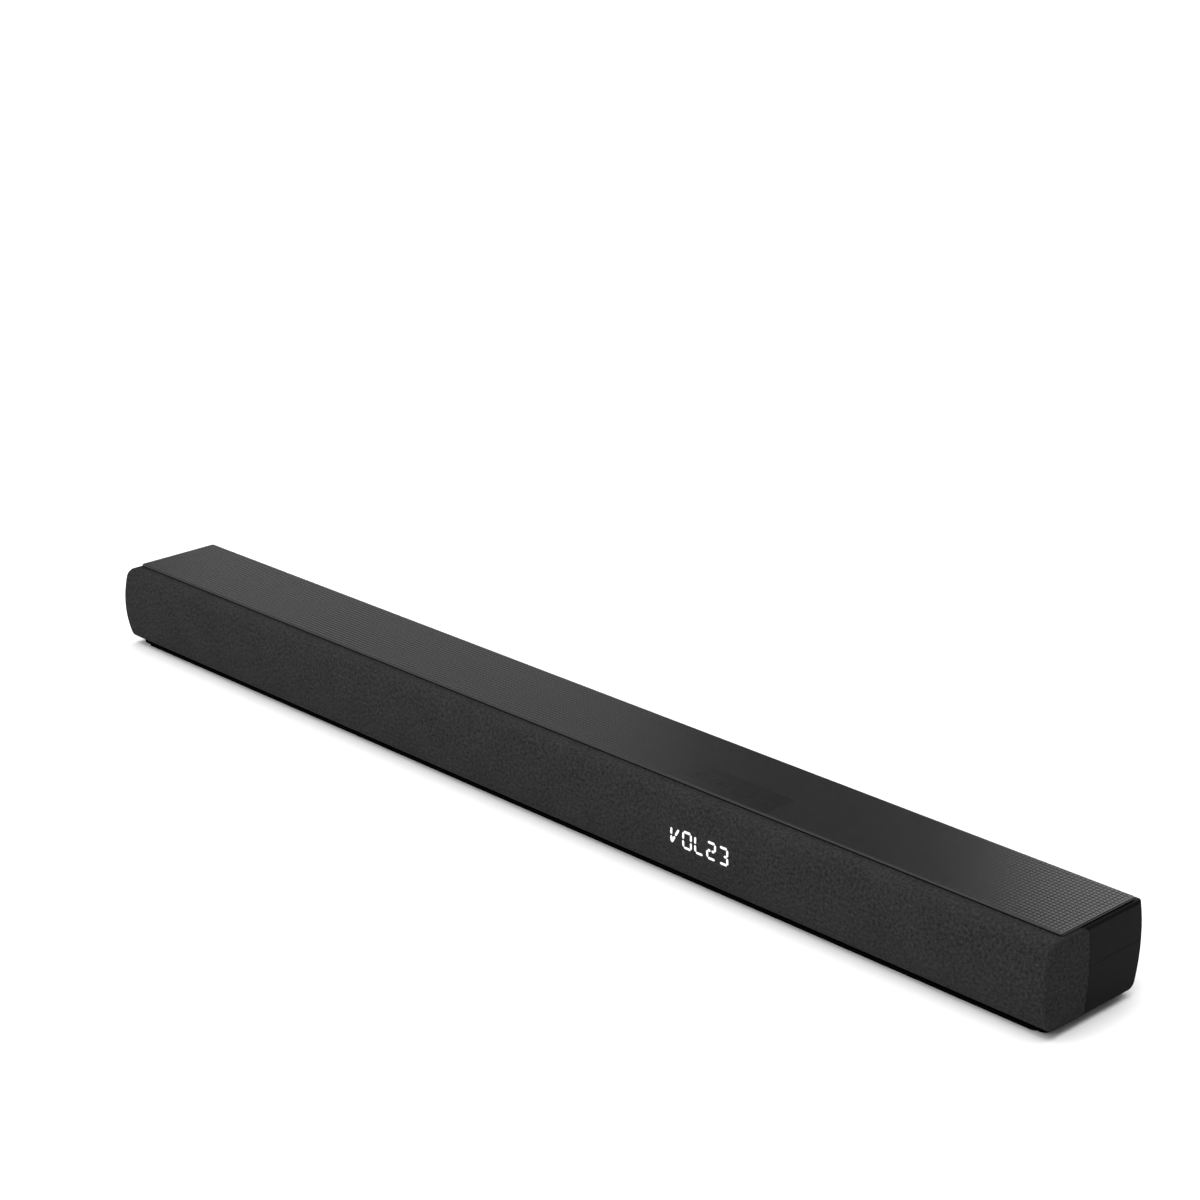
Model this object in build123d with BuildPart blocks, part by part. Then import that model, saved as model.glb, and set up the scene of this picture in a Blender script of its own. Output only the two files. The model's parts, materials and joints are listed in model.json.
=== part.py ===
from build123d import *
import os

# Soundbar: a cloth-fronted bar of two racetrack drivers, amplifier, power supply, touch keys and read-out.
# Millimetres, +X towards the bar's right end, -Y towards the listener, +Z up.
# Origin: centre of the footprint on the surface the bar stands on.

# ---------------------------------------------------------------- driving dimensions
length = 950.0
depth = 95.0
height = 66.5

base_height = 5.2  # black recessed base with its feet
cover_thickness = 1.6  # decorative plate on top
cover_gap = 0.4  # dark line under the plate
cloth_thickness = 0.8
frame_thickness = 2.2
wall = 2.8

body_bottom = base_height
body_top = height - cover_thickness - cover_gap
half_length = length / 2
front_y = -depth / 2
rear_y = depth / 2
belly_z = 36.0  # height at which front and rear bulge furthest
split_z = 37.5  # parting plane between the housing halves
end_edge_radius = 2.5

seam_y = -5.7  # where the cloth stops on each end
lip_y = -29.0  # how far the cloth frame reaches back under the cover
sole_y = -30.5  # and how far under the bar
lip_half_length = 466.0  # beyond this the frame runs on along the ends
fit_gap = 0.3  # all-round gap between the cloth frame and the housing

baffle_front_y = -34.0
baffle_thickness = 3.0
baffle_rear_y = baffle_front_y + baffle_thickness

driver_x = 330.0
driver_z = 35.0
key_pitch = 21.6
key_first_x = 156.0
key_y = -15.3
key_travel = 0.4
key_gap = 0.15
window_spot = (190.0, 35.9)  # centre of the read-out window
key_names = ("power", "source", "minus", "plus")
key_spots = [(key_first_x + key_pitch * i, key_y) for i in range(4)]

bay_width = 184.0
bay_height = 36.0
bay_z = 32.0
bay_face_y = 27.0  # wall of the rear recess that the sockets sit in
bay_rear_y = 45.0

main_board_top = 25.6
power_board_top = 19.6
button_board_top = 53.6
board_thickness = 1.6

neck_inset = cloth_thickness + frame_thickness + fit_gap
rear_post_y = 30.0
front_post_y = -24.0
rear_post_x = [-455.0, -350.0, -240.0, -130.0, 130.0, 240.0, 350.0, 455.0]
front_post_x = [-455.0, -240.0, -130.0, 130.0, 240.0, 455.0]
post_spots = [(x, rear_post_y) for x in rear_post_x] + [(x, front_post_y) for x in front_post_x]
baffle_screw_spots = [(side * x, z) for side in (-1, 1) for x in (40, 118, 258, 410) for z in (13, 57)]
peg_spots = [(side * x, z) for side in (-1, 1) for x in (90, 225, 440) for z in (13.5, 56.5)]
foot_spots = [(side * 400, y) for side in (-1, 1) for y in (-26, 33)]
insert_spots = [(-300, 30), (300, 30)]
cover_leg_spots = [(side * x, y) for side in (-1, 1) for x in (105, 290, 445) for y in (-8, 37)]
main_board_screws = [(x, y) for x in (-48, 74) for y in (-15, 20)]
power_board_screws = [(x, y) for x in (-210, -100) for y in (-13, 19)]
button_board_screws = [(key_first_x + key_pitch * i, -8) for i in (0.5, 2.5)]

os.makedirs("parts", exist_ok=True)


def save(piece, label):
    """Label a finished piece and write it as one STEP file."""
    piece.label = label
    export_step(piece, f"parts/{label}.step")


def facing_front(y):
    """Sketch plane square to Y at the given depth; +extrude goes towards the listener."""
    return Plane.XZ.offset(-y)


def body_block(inset=0.0, edge_radius=0.0):
    """The bar's bulging outline drawn in by inset, run the full length."""
    bottom = body_bottom + inset
    top = body_top - inset
    with BuildPart() as block:
        with BuildSketch(Plane.YZ) as section:
            with BuildLine():
                floor = Line((-41 + inset, bottom), (41.5 - inset, bottom))
                rear = ThreePointArc(floor @ 1, (rear_y - inset, belly_z), (44.8 - inset, top))
                roof = Line(rear @ 1, (-42.4 + inset, top))
                ThreePointArc(roof @ 1, (front_y + inset, belly_z), floor @ 0)
            make_face()
            low = section.vertices().group_by(Axis.Y)[0]
            high = section.vertices().group_by(Axis.Y)[-1]
            fillet(low, 7 - 0.6 * inset)
            fillet(high.sort_by(Axis.X)[0], 8 - inset)
            fillet(high.sort_by(Axis.X)[-1], max(3 - inset, 0.6))
        extrude(amount=half_length - inset, both=True)
        if edge_radius:
            fillet(block.faces().filter_by(Axis.X).edges(), edge_radius)
    return block.part


def cap_zone(gap):
    """Space of the cloth-covered cap: all ahead of the seam on each end, with lips over and under the bar."""
    with BuildPart() as zone:
        with BuildSketch(Plane.YZ) as section:
            with BuildLine():
                low = Line((-60, 0), (-9.8 + gap, 0))
                seam = ThreePointArc(low @ 1, (seam_y + gap, 34), (-7.6 + gap, body_top + 0.1))
                Polyline(seam @ 1, (-60, body_top + 0.1), low @ 0)
            make_face()
            fillet(section.vertices().group_by(Axis.Y)[-1].sort_by(Axis.X)[-1], 6.5)
        extrude(amount=half_length + 5, both=True)
        for edge_y, low_z in ((lip_y, split_z), (sole_y, split_z - 50)):
            with BuildSketch(Plane.XY.offset(low_z)):
                with Locations((0, 50 + edge_y + gap)):
                    Rectangle(2 * (lip_half_length - gap), 100)
            extrude(amount=50, mode=Mode.SUBTRACT)
    return zone.part


def behind(solid, y):
    """The part of a solid that lies behind the plane at the given depth."""
    with BuildPart() as kept:
        add(solid)
        split(bisect_by=Plane.XZ.offset(-y), keep=Keep.BOTTOM)
    return kept.part


outer_skin = body_block(0, end_edge_radius)
cloth_back = body_block(cloth_thickness, end_edge_radius - cloth_thickness)
frame_back = body_block(cloth_thickness + frame_thickness)
neck = behind(body_block(neck_inset), baffle_rear_y)
front_room = body_block(neck_inset + 2.3)
rear_room = behind(body_block(wall), 0)
cap = cap_zone(0)
cap_clearance = cap_zone(fit_gap)

# ---------------------------------------------------------------- cloth-covered front cap
# The knitted cloth is stretched over a lattice frame and wraps onto both ends.
with BuildPart() as grille_cloth:
    add(outer_skin)
    add(cloth_back, mode=Mode.SUBTRACT)
    add(cap, mode=Mode.INTERSECT)
save(grille_cloth.part, "grille_cloth")

with BuildPart() as grille_frame:
    add(cloth_back)
    add(frame_back, mode=Mode.SUBTRACT)
    add(cap, mode=Mode.INTERSECT)
    # sound openings in three rows, left out where the read-out and the remote sensor look through
    with BuildSketch(facing_front(-36)):
        with GridLocations(31, 12.5, 29, 3) as lattice:
            openings = [spot.position for spot in lattice.locations if not 140 < spot.position.X < 250]
        with Locations(*[(spot.X, spot.Y + driver_z) for spot in openings]):
            SlotOverall(25, 8.5)
    extrude(amount=20, mode=Mode.SUBTRACT)
    with BuildSketch(facing_front(-40)):
        with Locations(window_spot):
            RectangleRounded(62, 19, 2)
        with Locations((231, 37)):
            Circle(4)
    extrude(amount=20, mode=Mode.SUBTRACT)
    # pegs that push into the baffle
    with BuildSketch(facing_front(-31.5)):
        with Locations(*peg_spots):
            Circle(2)
    extrude(amount=10.5)
save(grille_frame.part, "grille_frame")

# ---------------------------------------------------------------- housing halves
with BuildPart() as housing:
    add(outer_skin)
    add(cap_clearance, mode=Mode.SUBTRACT)
    add(neck)
    add(front_room, mode=Mode.SUBTRACT)
    add(rear_room, mode=Mode.SUBTRACT)
    # window for the connector bay in the rear wall
    with BuildSketch(facing_front(20)):
        with Locations((0, bay_z)):
            RectangleRounded(bay_width + 0.4, bay_height + 0.4, 3.2)
    extrude(amount=-40, mode=Mode.SUBTRACT)

with BuildPart() as upper_housing:
    add(housing.part)
    split(bisect_by=Plane.XY.offset(split_z + 0.1), keep=Keep.TOP)
    # posts that meet the lower half's posts
    with BuildSketch(Plane.XY.offset(split_z)):
        with Locations(*post_spots):
            Circle(4)
    extrude(amount=body_top - 1.6 - split_z)
    with BuildSketch(Plane.XY.offset(split_z)):
        with Locations(*post_spots):
            Circle(1.55)
    extrude(amount=17, mode=Mode.SUBTRACT)
    # upper baffle bosses
    with BuildSketch(facing_front(baffle_rear_y)):
        with Locations(*[spot for spot in baffle_screw_spots if spot[1] > split_z]):
            Circle(3.2)
    extrude(amount=-12)
    with BuildSketch(facing_front(baffle_rear_y)):
        with Locations(*[spot for spot in baffle_screw_spots if spot[1] > split_z]):
            Circle(1.3)
    extrude(amount=-10, mode=Mode.SUBTRACT)
    # wells under the keys and slots for the cover's legs
    with BuildSketch(Plane.XY.offset(body_top - 10)):
        with Locations(*key_spots):
            RectangleRounded(15.8, 11.8, 2.2)
        with Locations(*cover_leg_spots):
            Rectangle(6.6, 2)
    extrude(amount=12, mode=Mode.SUBTRACT)
    # hangers for the key board
    with BuildSketch(Plane.XY.offset(button_board_top)):
        with Locations(*button_board_screws):
            Circle(2.2)
    extrude(amount=body_top - 3 - button_board_top)
    with BuildSketch(Plane.XY.offset(button_board_top)):
        with Locations(*button_board_screws):
            Circle(1.15)
    extrude(amount=5, mode=Mode.SUBTRACT)
save(upper_housing.part, "upper_housing")

with BuildPart() as lower_housing:
    add(housing.part)
    split(bisect_by=Plane.XY.offset(split_z - 0.1), keep=Keep.BOTTOM)
    with BuildSketch(Plane.XY.offset(body_bottom + 1.2)):
        with Locations(*post_spots):
            Circle(4)
    extrude(amount=split_z - body_bottom - 1.2)
    with BuildSketch(Plane.XY.offset(body_bottom - 1)):
        with Locations(*post_spots):
            Circle(1.7)
    extrude(amount=split_z, mode=Mode.SUBTRACT)
    # lower baffle bosses
    with BuildSketch(facing_front(baffle_rear_y)):
        with Locations(*[spot for spot in baffle_screw_spots if spot[1] < split_z]):
            Circle(3.2)
    extrude(amount=-12)
    with BuildSketch(facing_front(baffle_rear_y)):
        with Locations(*[spot for spot in baffle_screw_spots if spot[1] < split_z]):
            Circle(1.3)
    extrude(amount=-10, mode=Mode.SUBTRACT)
    # standoffs under the two circuit boards
    with BuildSketch(Plane.XY.offset(body_bottom + 1.2)):
        with Locations(*main_board_screws):
            Circle(3)
    extrude(amount=main_board_top - board_thickness - body_bottom - 1.2)
    with BuildSketch(Plane.XY.offset(body_bottom + 1.2)):
        with Locations(*power_board_screws):
            Circle(3)
    extrude(amount=power_board_top - board_thickness - body_bottom - 1.2)
    with BuildSketch(Plane.XY.offset(body_bottom + 4)):
        with Locations(*main_board_screws, *power_board_screws):
            Circle(1.15)
    extrude(amount=20, mode=Mode.SUBTRACT)
    # bosses for the wall-bracket inserts
    with BuildSketch(facing_front(36)):
        with Locations(*insert_spots):
            Circle(6)
    extrude(amount=-9.5)
    with BuildSketch(facing_front(38.4)):
        with Locations(*insert_spots):
            Circle(3.05)
    extrude(amount=-12, mode=Mode.SUBTRACT)
save(lower_housing.part, "lower_housing")

# ---------------------------------------------------------------- top cover
with BuildPart() as top_cover:
    with BuildSketch(Plane.XY.offset(body_top + cover_gap)):
        with Locations((0, 6)):
            RectangleRounded(944, 72, 2)
        with Locations(*key_spots):
            RectangleRounded(13 + 2 * key_gap, 9 + 2 * key_gap, 1.65, mode=Mode.SUBTRACT)
    extrude(amount=cover_thickness)
    chamfer(top_cover.faces().sort_by(Axis.Z)[-1].outer_wire().edges(), 0.5)
    # raised pad that rests on the housing, with wells for the key flanges
    with BuildSketch(Plane.XY.offset(body_top)):
        with Locations((0, 14.5)):
            Rectangle(930, 53)
        with Locations(*key_spots):
            RectangleRounded(15.8, 11.8, 2.2, mode=Mode.SUBTRACT)
    extrude(amount=cover_gap)
    # snap legs
    with BuildSketch(Plane.XY.offset(body_top - 7)):
        with Locations(*cover_leg_spots):
            Rectangle(6, 1.4)
    extrude(amount=7)
save(top_cover.part, "top_cover")

# ---------------------------------------------------------------- base and feet
with BuildPart() as base_plate:
    with BuildSketch(Plane.XY.offset(1.2)):
        with Locations((0, 3.5)):
            RectangleRounded(936, 79, 4)
    extrude(amount=body_bottom - 1.2)
    with BuildSketch(Plane.XY.offset(1.2)):
        with Locations((0, 3.5)):
            RectangleRounded(930, 73, 2.5)
    extrude(amount=2, mode=Mode.SUBTRACT)
    with BuildSketch(Plane.XY.offset(1.2)):
        with Locations(*post_spots):
            Circle(1.7)
    extrude(amount=6, mode=Mode.SUBTRACT)
save(base_plate.part, "base_plate")

with BuildPart() as rubber_feet:
    with BuildSketch(Plane.XY):
        with Locations(*foot_spots):
            SlotOverall(42, 9)
    extrude(amount=3.2)
    chamfer(rubber_feet.faces().filter_by(Axis.Z).group_by(Axis.Z)[0].edges(), 0.6)
save(rubber_feet.part, "rubber_feet")

# ---------------------------------------------------------------- front baffle
flange_length = 110.0
flange_height = 50.0
driver_spots = [(-driver_x, driver_z), (driver_x, driver_z)]
driver_screw_spots = [(x + side * 50, driver_z + rise) for x, _ in driver_spots for side in (-1, 1)
                      for rise in (-20, 20)]

with BuildPart() as front_baffle:
    add(behind(body_block(neck_inset + 0.1), baffle_front_y))
    split(bisect_by=Plane.XZ.offset(-baffle_rear_y), keep=Keep.TOP)
    with BuildSketch(facing_front(-30)):
        with Locations(*driver_spots):
            SlotOverall(98.5, 44.5)
        with Locations(*peg_spots):
            Circle(2.1)
        with Locations(*baffle_screw_spots):
            Circle(1.5)
        with Locations(*driver_screw_spots):
            Circle(1.15)
        with Locations((200, 30)):
            SlotOverall(16, 5)
    extrude(amount=6, mode=Mode.SUBTRACT)
save(front_baffle.part, "front_baffle")


# ---------------------------------------------------------------- racetrack drivers
def loft_slots(x, front_slot, front_slot_y, rear_slot, rear_slot_y):
    """Solid between two racetracks square to Y, centred on a driver."""
    with BuildPart() as body:
        with BuildSketch(facing_front(front_slot_y)):
            with Locations((x, driver_z)):
                SlotOverall(*front_slot)
        with BuildSketch(facing_front(rear_slot_y)):
            with Locations((x, driver_z)):
                SlotOverall(*rear_slot)
        loft()
    return body.part


flange_front_y = baffle_front_y - 3
tub_rear_y = -15.0
tubs = [loft_slots(x, (97, 43), baffle_front_y, (48, 44), tub_rear_y) for x, _ in driver_spots]
tub_rooms = [loft_slots(x, (94, 40.5), baffle_front_y - 0.1, (40, 38), tub_rear_y - 1.5) for x, _ in driver_spots]

with BuildPart() as driver_baskets:
    for tub, room in zip(tubs, tub_rooms):
        add(tub)
        add(room, mode=Mode.SUBTRACT)
    with BuildSketch(facing_front(baffle_front_y)):
        with Locations(*driver_spots):
            RectangleRounded(flange_length, flange_height, 6)
            SlotOverall(94, 40.5, mode=Mode.SUBTRACT)
        with Locations(*driver_screw_spots):
            Circle(1.4, mode=Mode.SUBTRACT)
    extrude(amount=baffle_front_y - flange_front_y)
    # windows through the tub, and the coil's way through its rear wall
    for x, _ in driver_spots:
        with Locations((x - 26, -25, driver_z), (x + 26, -25, driver_z)):
            Box(17, 9, 60, mode=Mode.SUBTRACT)
    with BuildSketch(facing_front(-10)):
        with Locations(*driver_spots):
            Circle(11.5)
    extrude(amount=8, mode=Mode.SUBTRACT)
save(driver_baskets.part, "driver_baskets")

with BuildPart() as driver_gaskets:
    with BuildSketch(facing_front(flange_front_y)):
        with Locations(*driver_spots):
            SlotOverall(104, 50)
            SlotOverall(101, 47, mode=Mode.SUBTRACT)
    extrude(amount=0.6)
save(driver_gaskets.part, "driver_gaskets")


def disc_stack(label, near_y, thickness, radius, bore):
    """One ring per driver, square to Y, from near_y back."""
    with BuildPart() as rings:
        with BuildSketch(facing_front(near_y)):
            with Locations(*driver_spots):
                Circle(radius)
                Circle(bore, mode=Mode.SUBTRACT)
        extrude(amount=-thickness)
    save(rings.part, label)


disc_stack("driver_top_plates", tub_rear_y, 3, 18, 11.2)
disc_stack("driver_magnets", tub_rear_y + 3, 8, 20, 12.5)

with BuildPart() as driver_yokes:
    with BuildSketch(facing_front(tub_rear_y + 11)):
        with Locations(*driver_spots):
            Circle(18)
    extrude(amount=-3)
    with BuildSketch(facing_front(tub_rear_y + 11)):
        with Locations(*driver_spots):
            Circle(9.4)
    extrude(amount=11)
save(driver_yokes.part, "driver_yokes")

with BuildPart() as driver_screws:
    with BuildSketch(facing_front(flange_front_y)):
        with Locations(*driver_screw_spots):
            Circle(2.1)
    extrude(amount=1.4)
    with BuildSketch(facing_front(flange_front_y)):
        with Locations(*driver_screw_spots):
            Circle(1.1)
    extrude(amount=-8)
save(driver_screws.part, "driver_screws")

# Each moving cone carries a dust cap and a voice coil; its roll surround and spider flex.
for side, x in (("left", -driver_x), ("right", driver_x)):
    cone_outer = loft_slots(x, (86, 32), flange_front_y, (23, 22.4), -24)
    cone_inner = loft_slots(x, (84.4, 30.4), flange_front_y, (21.4, 20.8), -24)
    with BuildPart() as cone:
        add(cone_outer)
        add(cone_inner, mode=Mode.SUBTRACT)
    save(cone.part, f"cone_{side}")

    with BuildPart() as dust_cap:
        with Locations((x, -13.2, driver_z)):
            Sphere(19.4)
            Sphere(18.8, mode=Mode.SUBTRACT)
        split(bisect_by=Plane.XZ.offset(28.7), keep=Keep.TOP)
    save(dust_cap.part, f"dust_cap_{side}")

    with BuildPart() as voice_coil:
        with BuildSketch(facing_front(-11.5)):
            with Locations((x, driver_z)):
                Circle(10.3)
                Circle(10, mode=Mode.SUBTRACT)
        extrude(amount=14)
        with BuildSketch(facing_front(-11.5)):
            with Locations((x, driver_z)):
                Circle(10.8)
                Circle(10, mode=Mode.SUBTRACT)
        extrude(amount=4)
    save(voice_coil.part, f"voice_coil_{side}")

    with BuildPart() as surround:
        with BuildSketch(facing_front(flange_front_y)):
            with Locations((x, driver_z)):
                SlotOverall(100.6, 46.6)
                SlotOverall(85.2, 31.2, mode=Mode.SUBTRACT)
        extrude(amount=0.6)
        with BuildSketch(facing_front(flange_front_y - 0.6)):
            with Locations((x, driver_z)):
                SlotOverall(97, 43)
                SlotOverall(89, 35, mode=Mode.SUBTRACT)
        extrude(amount=1.8)
    save(surround.part, f"surround_{side}")

    with BuildPart() as spider:
        with BuildSketch(facing_front(-18.4)):
            with Locations((x, driver_z)):
                Circle(18)
                Circle(10.35, mode=Mode.SUBTRACT)
        extrude(amount=0.5)
    save(spider.part, f"spider_{side}")

# ---------------------------------------------------------------- chambers
bulkhead_x = 229.0
bulkhead_thickness = 2.5
lead_spot = (-10.0, 34.0)
with BuildPart() as bulkhead_pair:
    add(behind(body_block(neck_inset + 2.5), baffle_rear_y + 0.2))
    add(behind(body_block(wall + 0.2), 0.2))
    # all but two upright slices is cut away
    with BuildSketch(Plane.XY):
        Rectangle(length, 2 * depth)
        with Locations((-bulkhead_x, 0), (bulkhead_x, 0)):
            Rectangle(bulkhead_thickness, 2 * depth, mode=Mode.SUBTRACT)
    extrude(amount=height, mode=Mode.SUBTRACT)
    with BuildSketch(Plane.YZ.offset(-300)):
        with Locations(lead_spot):
            Circle(2.4)
    extrude(amount=600, mode=Mode.SUBTRACT)
save(bulkhead_pair.part, "chamber_bulkheads")

with BuildPart() as damping_foam:
    with BuildSketch(Plane.XY.offset(13)):
        with Locations((-402.5, 22), (402.5, 22)):
            RectangleRounded(86, 34, 4)
    extrude(amount=42)
save(damping_foam.part, "damping_foam")

# ---------------------------------------------------------------- read-out
digit_width = 8.9
digit_height = 13.2
digit_pitch = 11.1
digit_left_x = 163.4
digit_low_z = 29.3
stroke = 1.75
digit_gap = 0.35
window_front_y = -44.5

with BuildPart() as display_board:
    with BuildSketch(facing_front(baffle_front_y)):
        with Locations((196, 37)):
            Rectangle(88, 26)
    extrude(amount=board_thickness)
save(display_board.part, "display_board")

with BuildPart() as display_window:
    with BuildSketch(facing_front(baffle_front_y - board_thickness)):
        with Locations(window_spot):
            RectangleRounded(60, 17, 1.5)
    extrude(amount=baffle_front_y - board_thickness - window_front_y)
save(display_window.part, "display_window")

with BuildPart() as ir_receiver:
    with BuildSketch(facing_front(baffle_front_y - board_thickness)):
        with Locations((231, 37)):
            Rectangle(6, 7)
    extrude(amount=5)
    with Locations((231, baffle_front_y - board_thickness - 5, 37)):
        Sphere(2.2)
save(ir_receiver.part, "ir_receiver")

# Fourteen-segment figures: each segment is named by the two nodes of a 3 x 5 net that it joins.
segment_ends = {
    "a": ((0, 4), (2, 4)),
    "b": ((2, 4), (2, 2)),
    "c": ((2, 2), (2, 0)),
    "d": ((0, 0), (2, 0)),
    "e": ((0, 2), (0, 0)),
    "f": ((0, 4), (0, 2)),
    "g": ((0, 2), (1, 2)),
    "h": ((1, 2), (2, 2)),
    "j": ((1, 2), (2, 4)),
    "k": ((0, 0), (1, 2)),
}
read_out = ["fejk", "abcdef", "def", "abhged", "abhcd"]  # a volume reading: three letters, two figures


def segment_bar(origin_x, ends):
    """Outline of one lit bar between two nodes, with pointed ends drawn back by the gap."""
    step_x = (digit_width - stroke) / 2
    step_z = (digit_height - stroke) / 4
    low_x = origin_x + stroke / 2
    low_z = digit_low_z + stroke / 2
    start, end = [Vector(low_x + step_x * i, low_z + step_z * k) for i, k in ends]
    along = (end - start).normalized()
    across = Vector(-along.Y, along.X) * (stroke / 2)
    first = start + along * digit_gap
    last = end - along * digit_gap
    shoulder = along * (stroke / 2 - 0.1)
    return [first, first + shoulder + across, last - shoulder + across,
            last, last - shoulder - across, first + shoulder - across]


with BuildPart() as display_digits:
    for place, lit in enumerate(read_out):
        for name in lit:
            with BuildSketch(facing_front(window_front_y)):
                Polygon(*[(p.X, p.Y) for p in segment_bar(digit_left_x + digit_pitch * place, segment_ends[name])],
                        align=None)
            extrude(amount=1.6)
save(display_digits.part, "display_digits")

# ---------------------------------------------------------------- keys
for name, spot in zip(key_names, key_spots):
    with BuildPart() as key:
        with BuildSketch(Plane.XY.offset(body_top - 0.5)):
            with Locations(spot):
                RectangleRounded(15, 11, 2)
        extrude(amount=0.8)
        with BuildSketch(Plane.XY.offset(body_top + 0.3)):
            with Locations(spot):
                RectangleRounded(13, 9, 1.5)
        extrude(amount=height - body_top - 0.3)
        with BuildSketch(Plane.XY.offset(button_board_top + 4.4)):
            with Locations(spot):
                Circle(2)
        extrude(amount=body_top - 0.5 - button_board_top - 4.4)
    save(key.part, f"key_{name}")

    with BuildPart() as plunger:
        with BuildSketch(Plane.XY.offset(button_board_top + 1.4)):
            with Locations(spot):
                Circle(1.8)
        extrude(amount=3)
    save(plunger.part, f"plunger_{name}")

with BuildPart() as button_board:
    with BuildSketch(Plane.XY.offset(button_board_top - board_thickness)):
        with Locations((key_first_x + 1.5 * key_pitch, key_y)):
            Rectangle(78, 19)
        with Locations(*button_board_screws):
            Circle(1.4, mode=Mode.SUBTRACT)
    extrude(amount=board_thickness)
save(button_board.part, "button_board")

with BuildPart() as tact_switches:
    with BuildSketch(Plane.XY.offset(button_board_top)):
        with Locations(*key_spots):
            RectangleRounded(6.2, 6.2, 0.5)
    extrude(amount=3.4)
    with BuildSketch(Plane.XY.offset(button_board_top + 0.8)):
        with Locations(*key_spots):
            Circle(1.85)
    extrude(amount=4, mode=Mode.SUBTRACT)
save(tact_switches.part, "tact_switches")

# ---------------------------------------------------------------- electronics
with BuildPart() as main_board:
    with BuildSketch(Plane.XY.offset(main_board_top - board_thickness)):
        with Locations((13, 2.4)):
            Rectangle(130, 44.8)
        with Locations(*main_board_screws):
            Circle(1.4, mode=Mode.SUBTRACT)
    extrude(amount=board_thickness)
save(main_board.part, "main_board")

with BuildPart() as amp_heatsink:
    with BuildSketch(Plane.XY.offset(main_board_top)):
        with Locations((48, -8)):
            Rectangle(40, 22)
    extrude(amount=3)
    with BuildSketch(Plane.XY.offset(main_board_top + 3)):
        with Locations((48, -8)):
            with GridLocations(4.6, 0, 9, 1):
                Rectangle(1.6, 22)
    extrude(amount=13)
save(amp_heatsink.part, "amp_heatsink")

with BuildPart() as output_inductors:
    with BuildSketch(Plane.XY.offset(main_board_top)):
        with Locations((-12, -12)):
            with GridLocations(14, 0, 4, 1):
                RectangleRounded(10, 10, 2)
    extrude(amount=6)
save(output_inductors.part, "output_inductors")

with BuildPart() as power_board:
    with BuildSketch(Plane.XY.offset(power_board_top - board_thickness)):
        with Locations((-155, 3)):
            Rectangle(120, 42)
        with Locations(*power_board_screws):
            Circle(1.4, mode=Mode.SUBTRACT)
    extrude(amount=board_thickness)
save(power_board.part, "power_board")

with BuildPart() as mains_transformer:
    with BuildSketch(Plane.XY.offset(power_board_top)):
        with Locations((-155, 4)):
            Rectangle(20, 26)
    extrude(amount=24)
    with BuildSketch(Plane.XY.offset(power_board_top + 4)):
        with Locations((-155, 4)):
            RectangleRounded(32, 22, 3)
    extrude(amount=16)
save(mains_transformer.part, "mains_transformer")

with BuildPart() as board_capacitors:
    with BuildSketch(Plane.XY.offset(power_board_top)):
        with Locations((-190, 3)):
            Circle(9)
    extrude(amount=28)
    with BuildSketch(Plane.XY.offset(main_board_top)):
        with Locations((-32, 4), (-18, 4), (-4, 4)):
            Circle(5)
    extrude(amount=16)
save(board_capacitors.part, "board_capacitors")

# ---------------------------------------------------------------- rear connector bay
inlet_spot = (-70.0, bay_z)
hdmi_spot = (-32.0, main_board_top + 3.1)
usb_spot = (-6.0, main_board_top + 3.3)
optical_spot = (22.0, main_board_top + 7.5)
aux_spot = (50.0, main_board_top + 5.5)

with BuildPart() as connector_bay:
    with BuildSketch(facing_front(bay_face_y - 2)):
        with Locations((0, bay_z)):
            RectangleRounded(bay_width, bay_height, 3)
    extrude(amount=-(bay_rear_y - bay_face_y + 2))
    with BuildSketch(facing_front(36)):
        with Locations((0, bay_z)):
            RectangleRounded(bay_width + 5, bay_height + 5, 5)
    extrude(amount=-2)
    with BuildSketch(facing_front(bay_face_y)):
        with Locations((0, bay_z)):
            RectangleRounded(bay_width - 4, bay_height - 4, 2)
    extrude(amount=-30, mode=Mode.SUBTRACT)
    with BuildSketch(facing_front(bay_face_y - 5)):
        with Locations(inlet_spot):
            RectangleRounded(24.4, 14.4, 3)
        with Locations(hdmi_spot):
            Rectangle(15.4, 6.4)
        with Locations(usb_spot):
            Rectangle(14.4, 6.8)
        with Locations(optical_spot):
            Rectangle(14.4, 15.2)
        with Locations(aux_spot):
            Rectangle(12.2, 11.2)
    extrude(amount=-8, mode=Mode.SUBTRACT)
save(connector_bay.part, "connector_bay")

with BuildPart() as ac_inlet:
    with BuildSketch(facing_front(8)):
        with Locations(inlet_spot):
            RectangleRounded(24, 14, 3)
    extrude(amount=-20)
    with BuildSketch(facing_front(14)):
        with Locations(inlet_spot):
            SlotOverall(18.6, 9.6)
    extrude(amount=-20, mode=Mode.SUBTRACT)
    with BuildSketch(facing_front(6)):
        with Locations((inlet_spot[0] - 4.3, bay_z), (inlet_spot[0] + 4.3, bay_z)):
            Circle(1.2)
    extrude(amount=-10, mode=Mode.SUBTRACT)
save(ac_inlet.part, "ac_inlet")

with BuildPart() as inlet_pins:
    with BuildSketch(facing_front(6)):
        with Locations((inlet_spot[0] - 4.3, bay_z), (inlet_spot[0] + 4.3, bay_z)):
            Circle(1.15)
    extrude(amount=-18)
save(inlet_pins.part, "inlet_pins")


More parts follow.
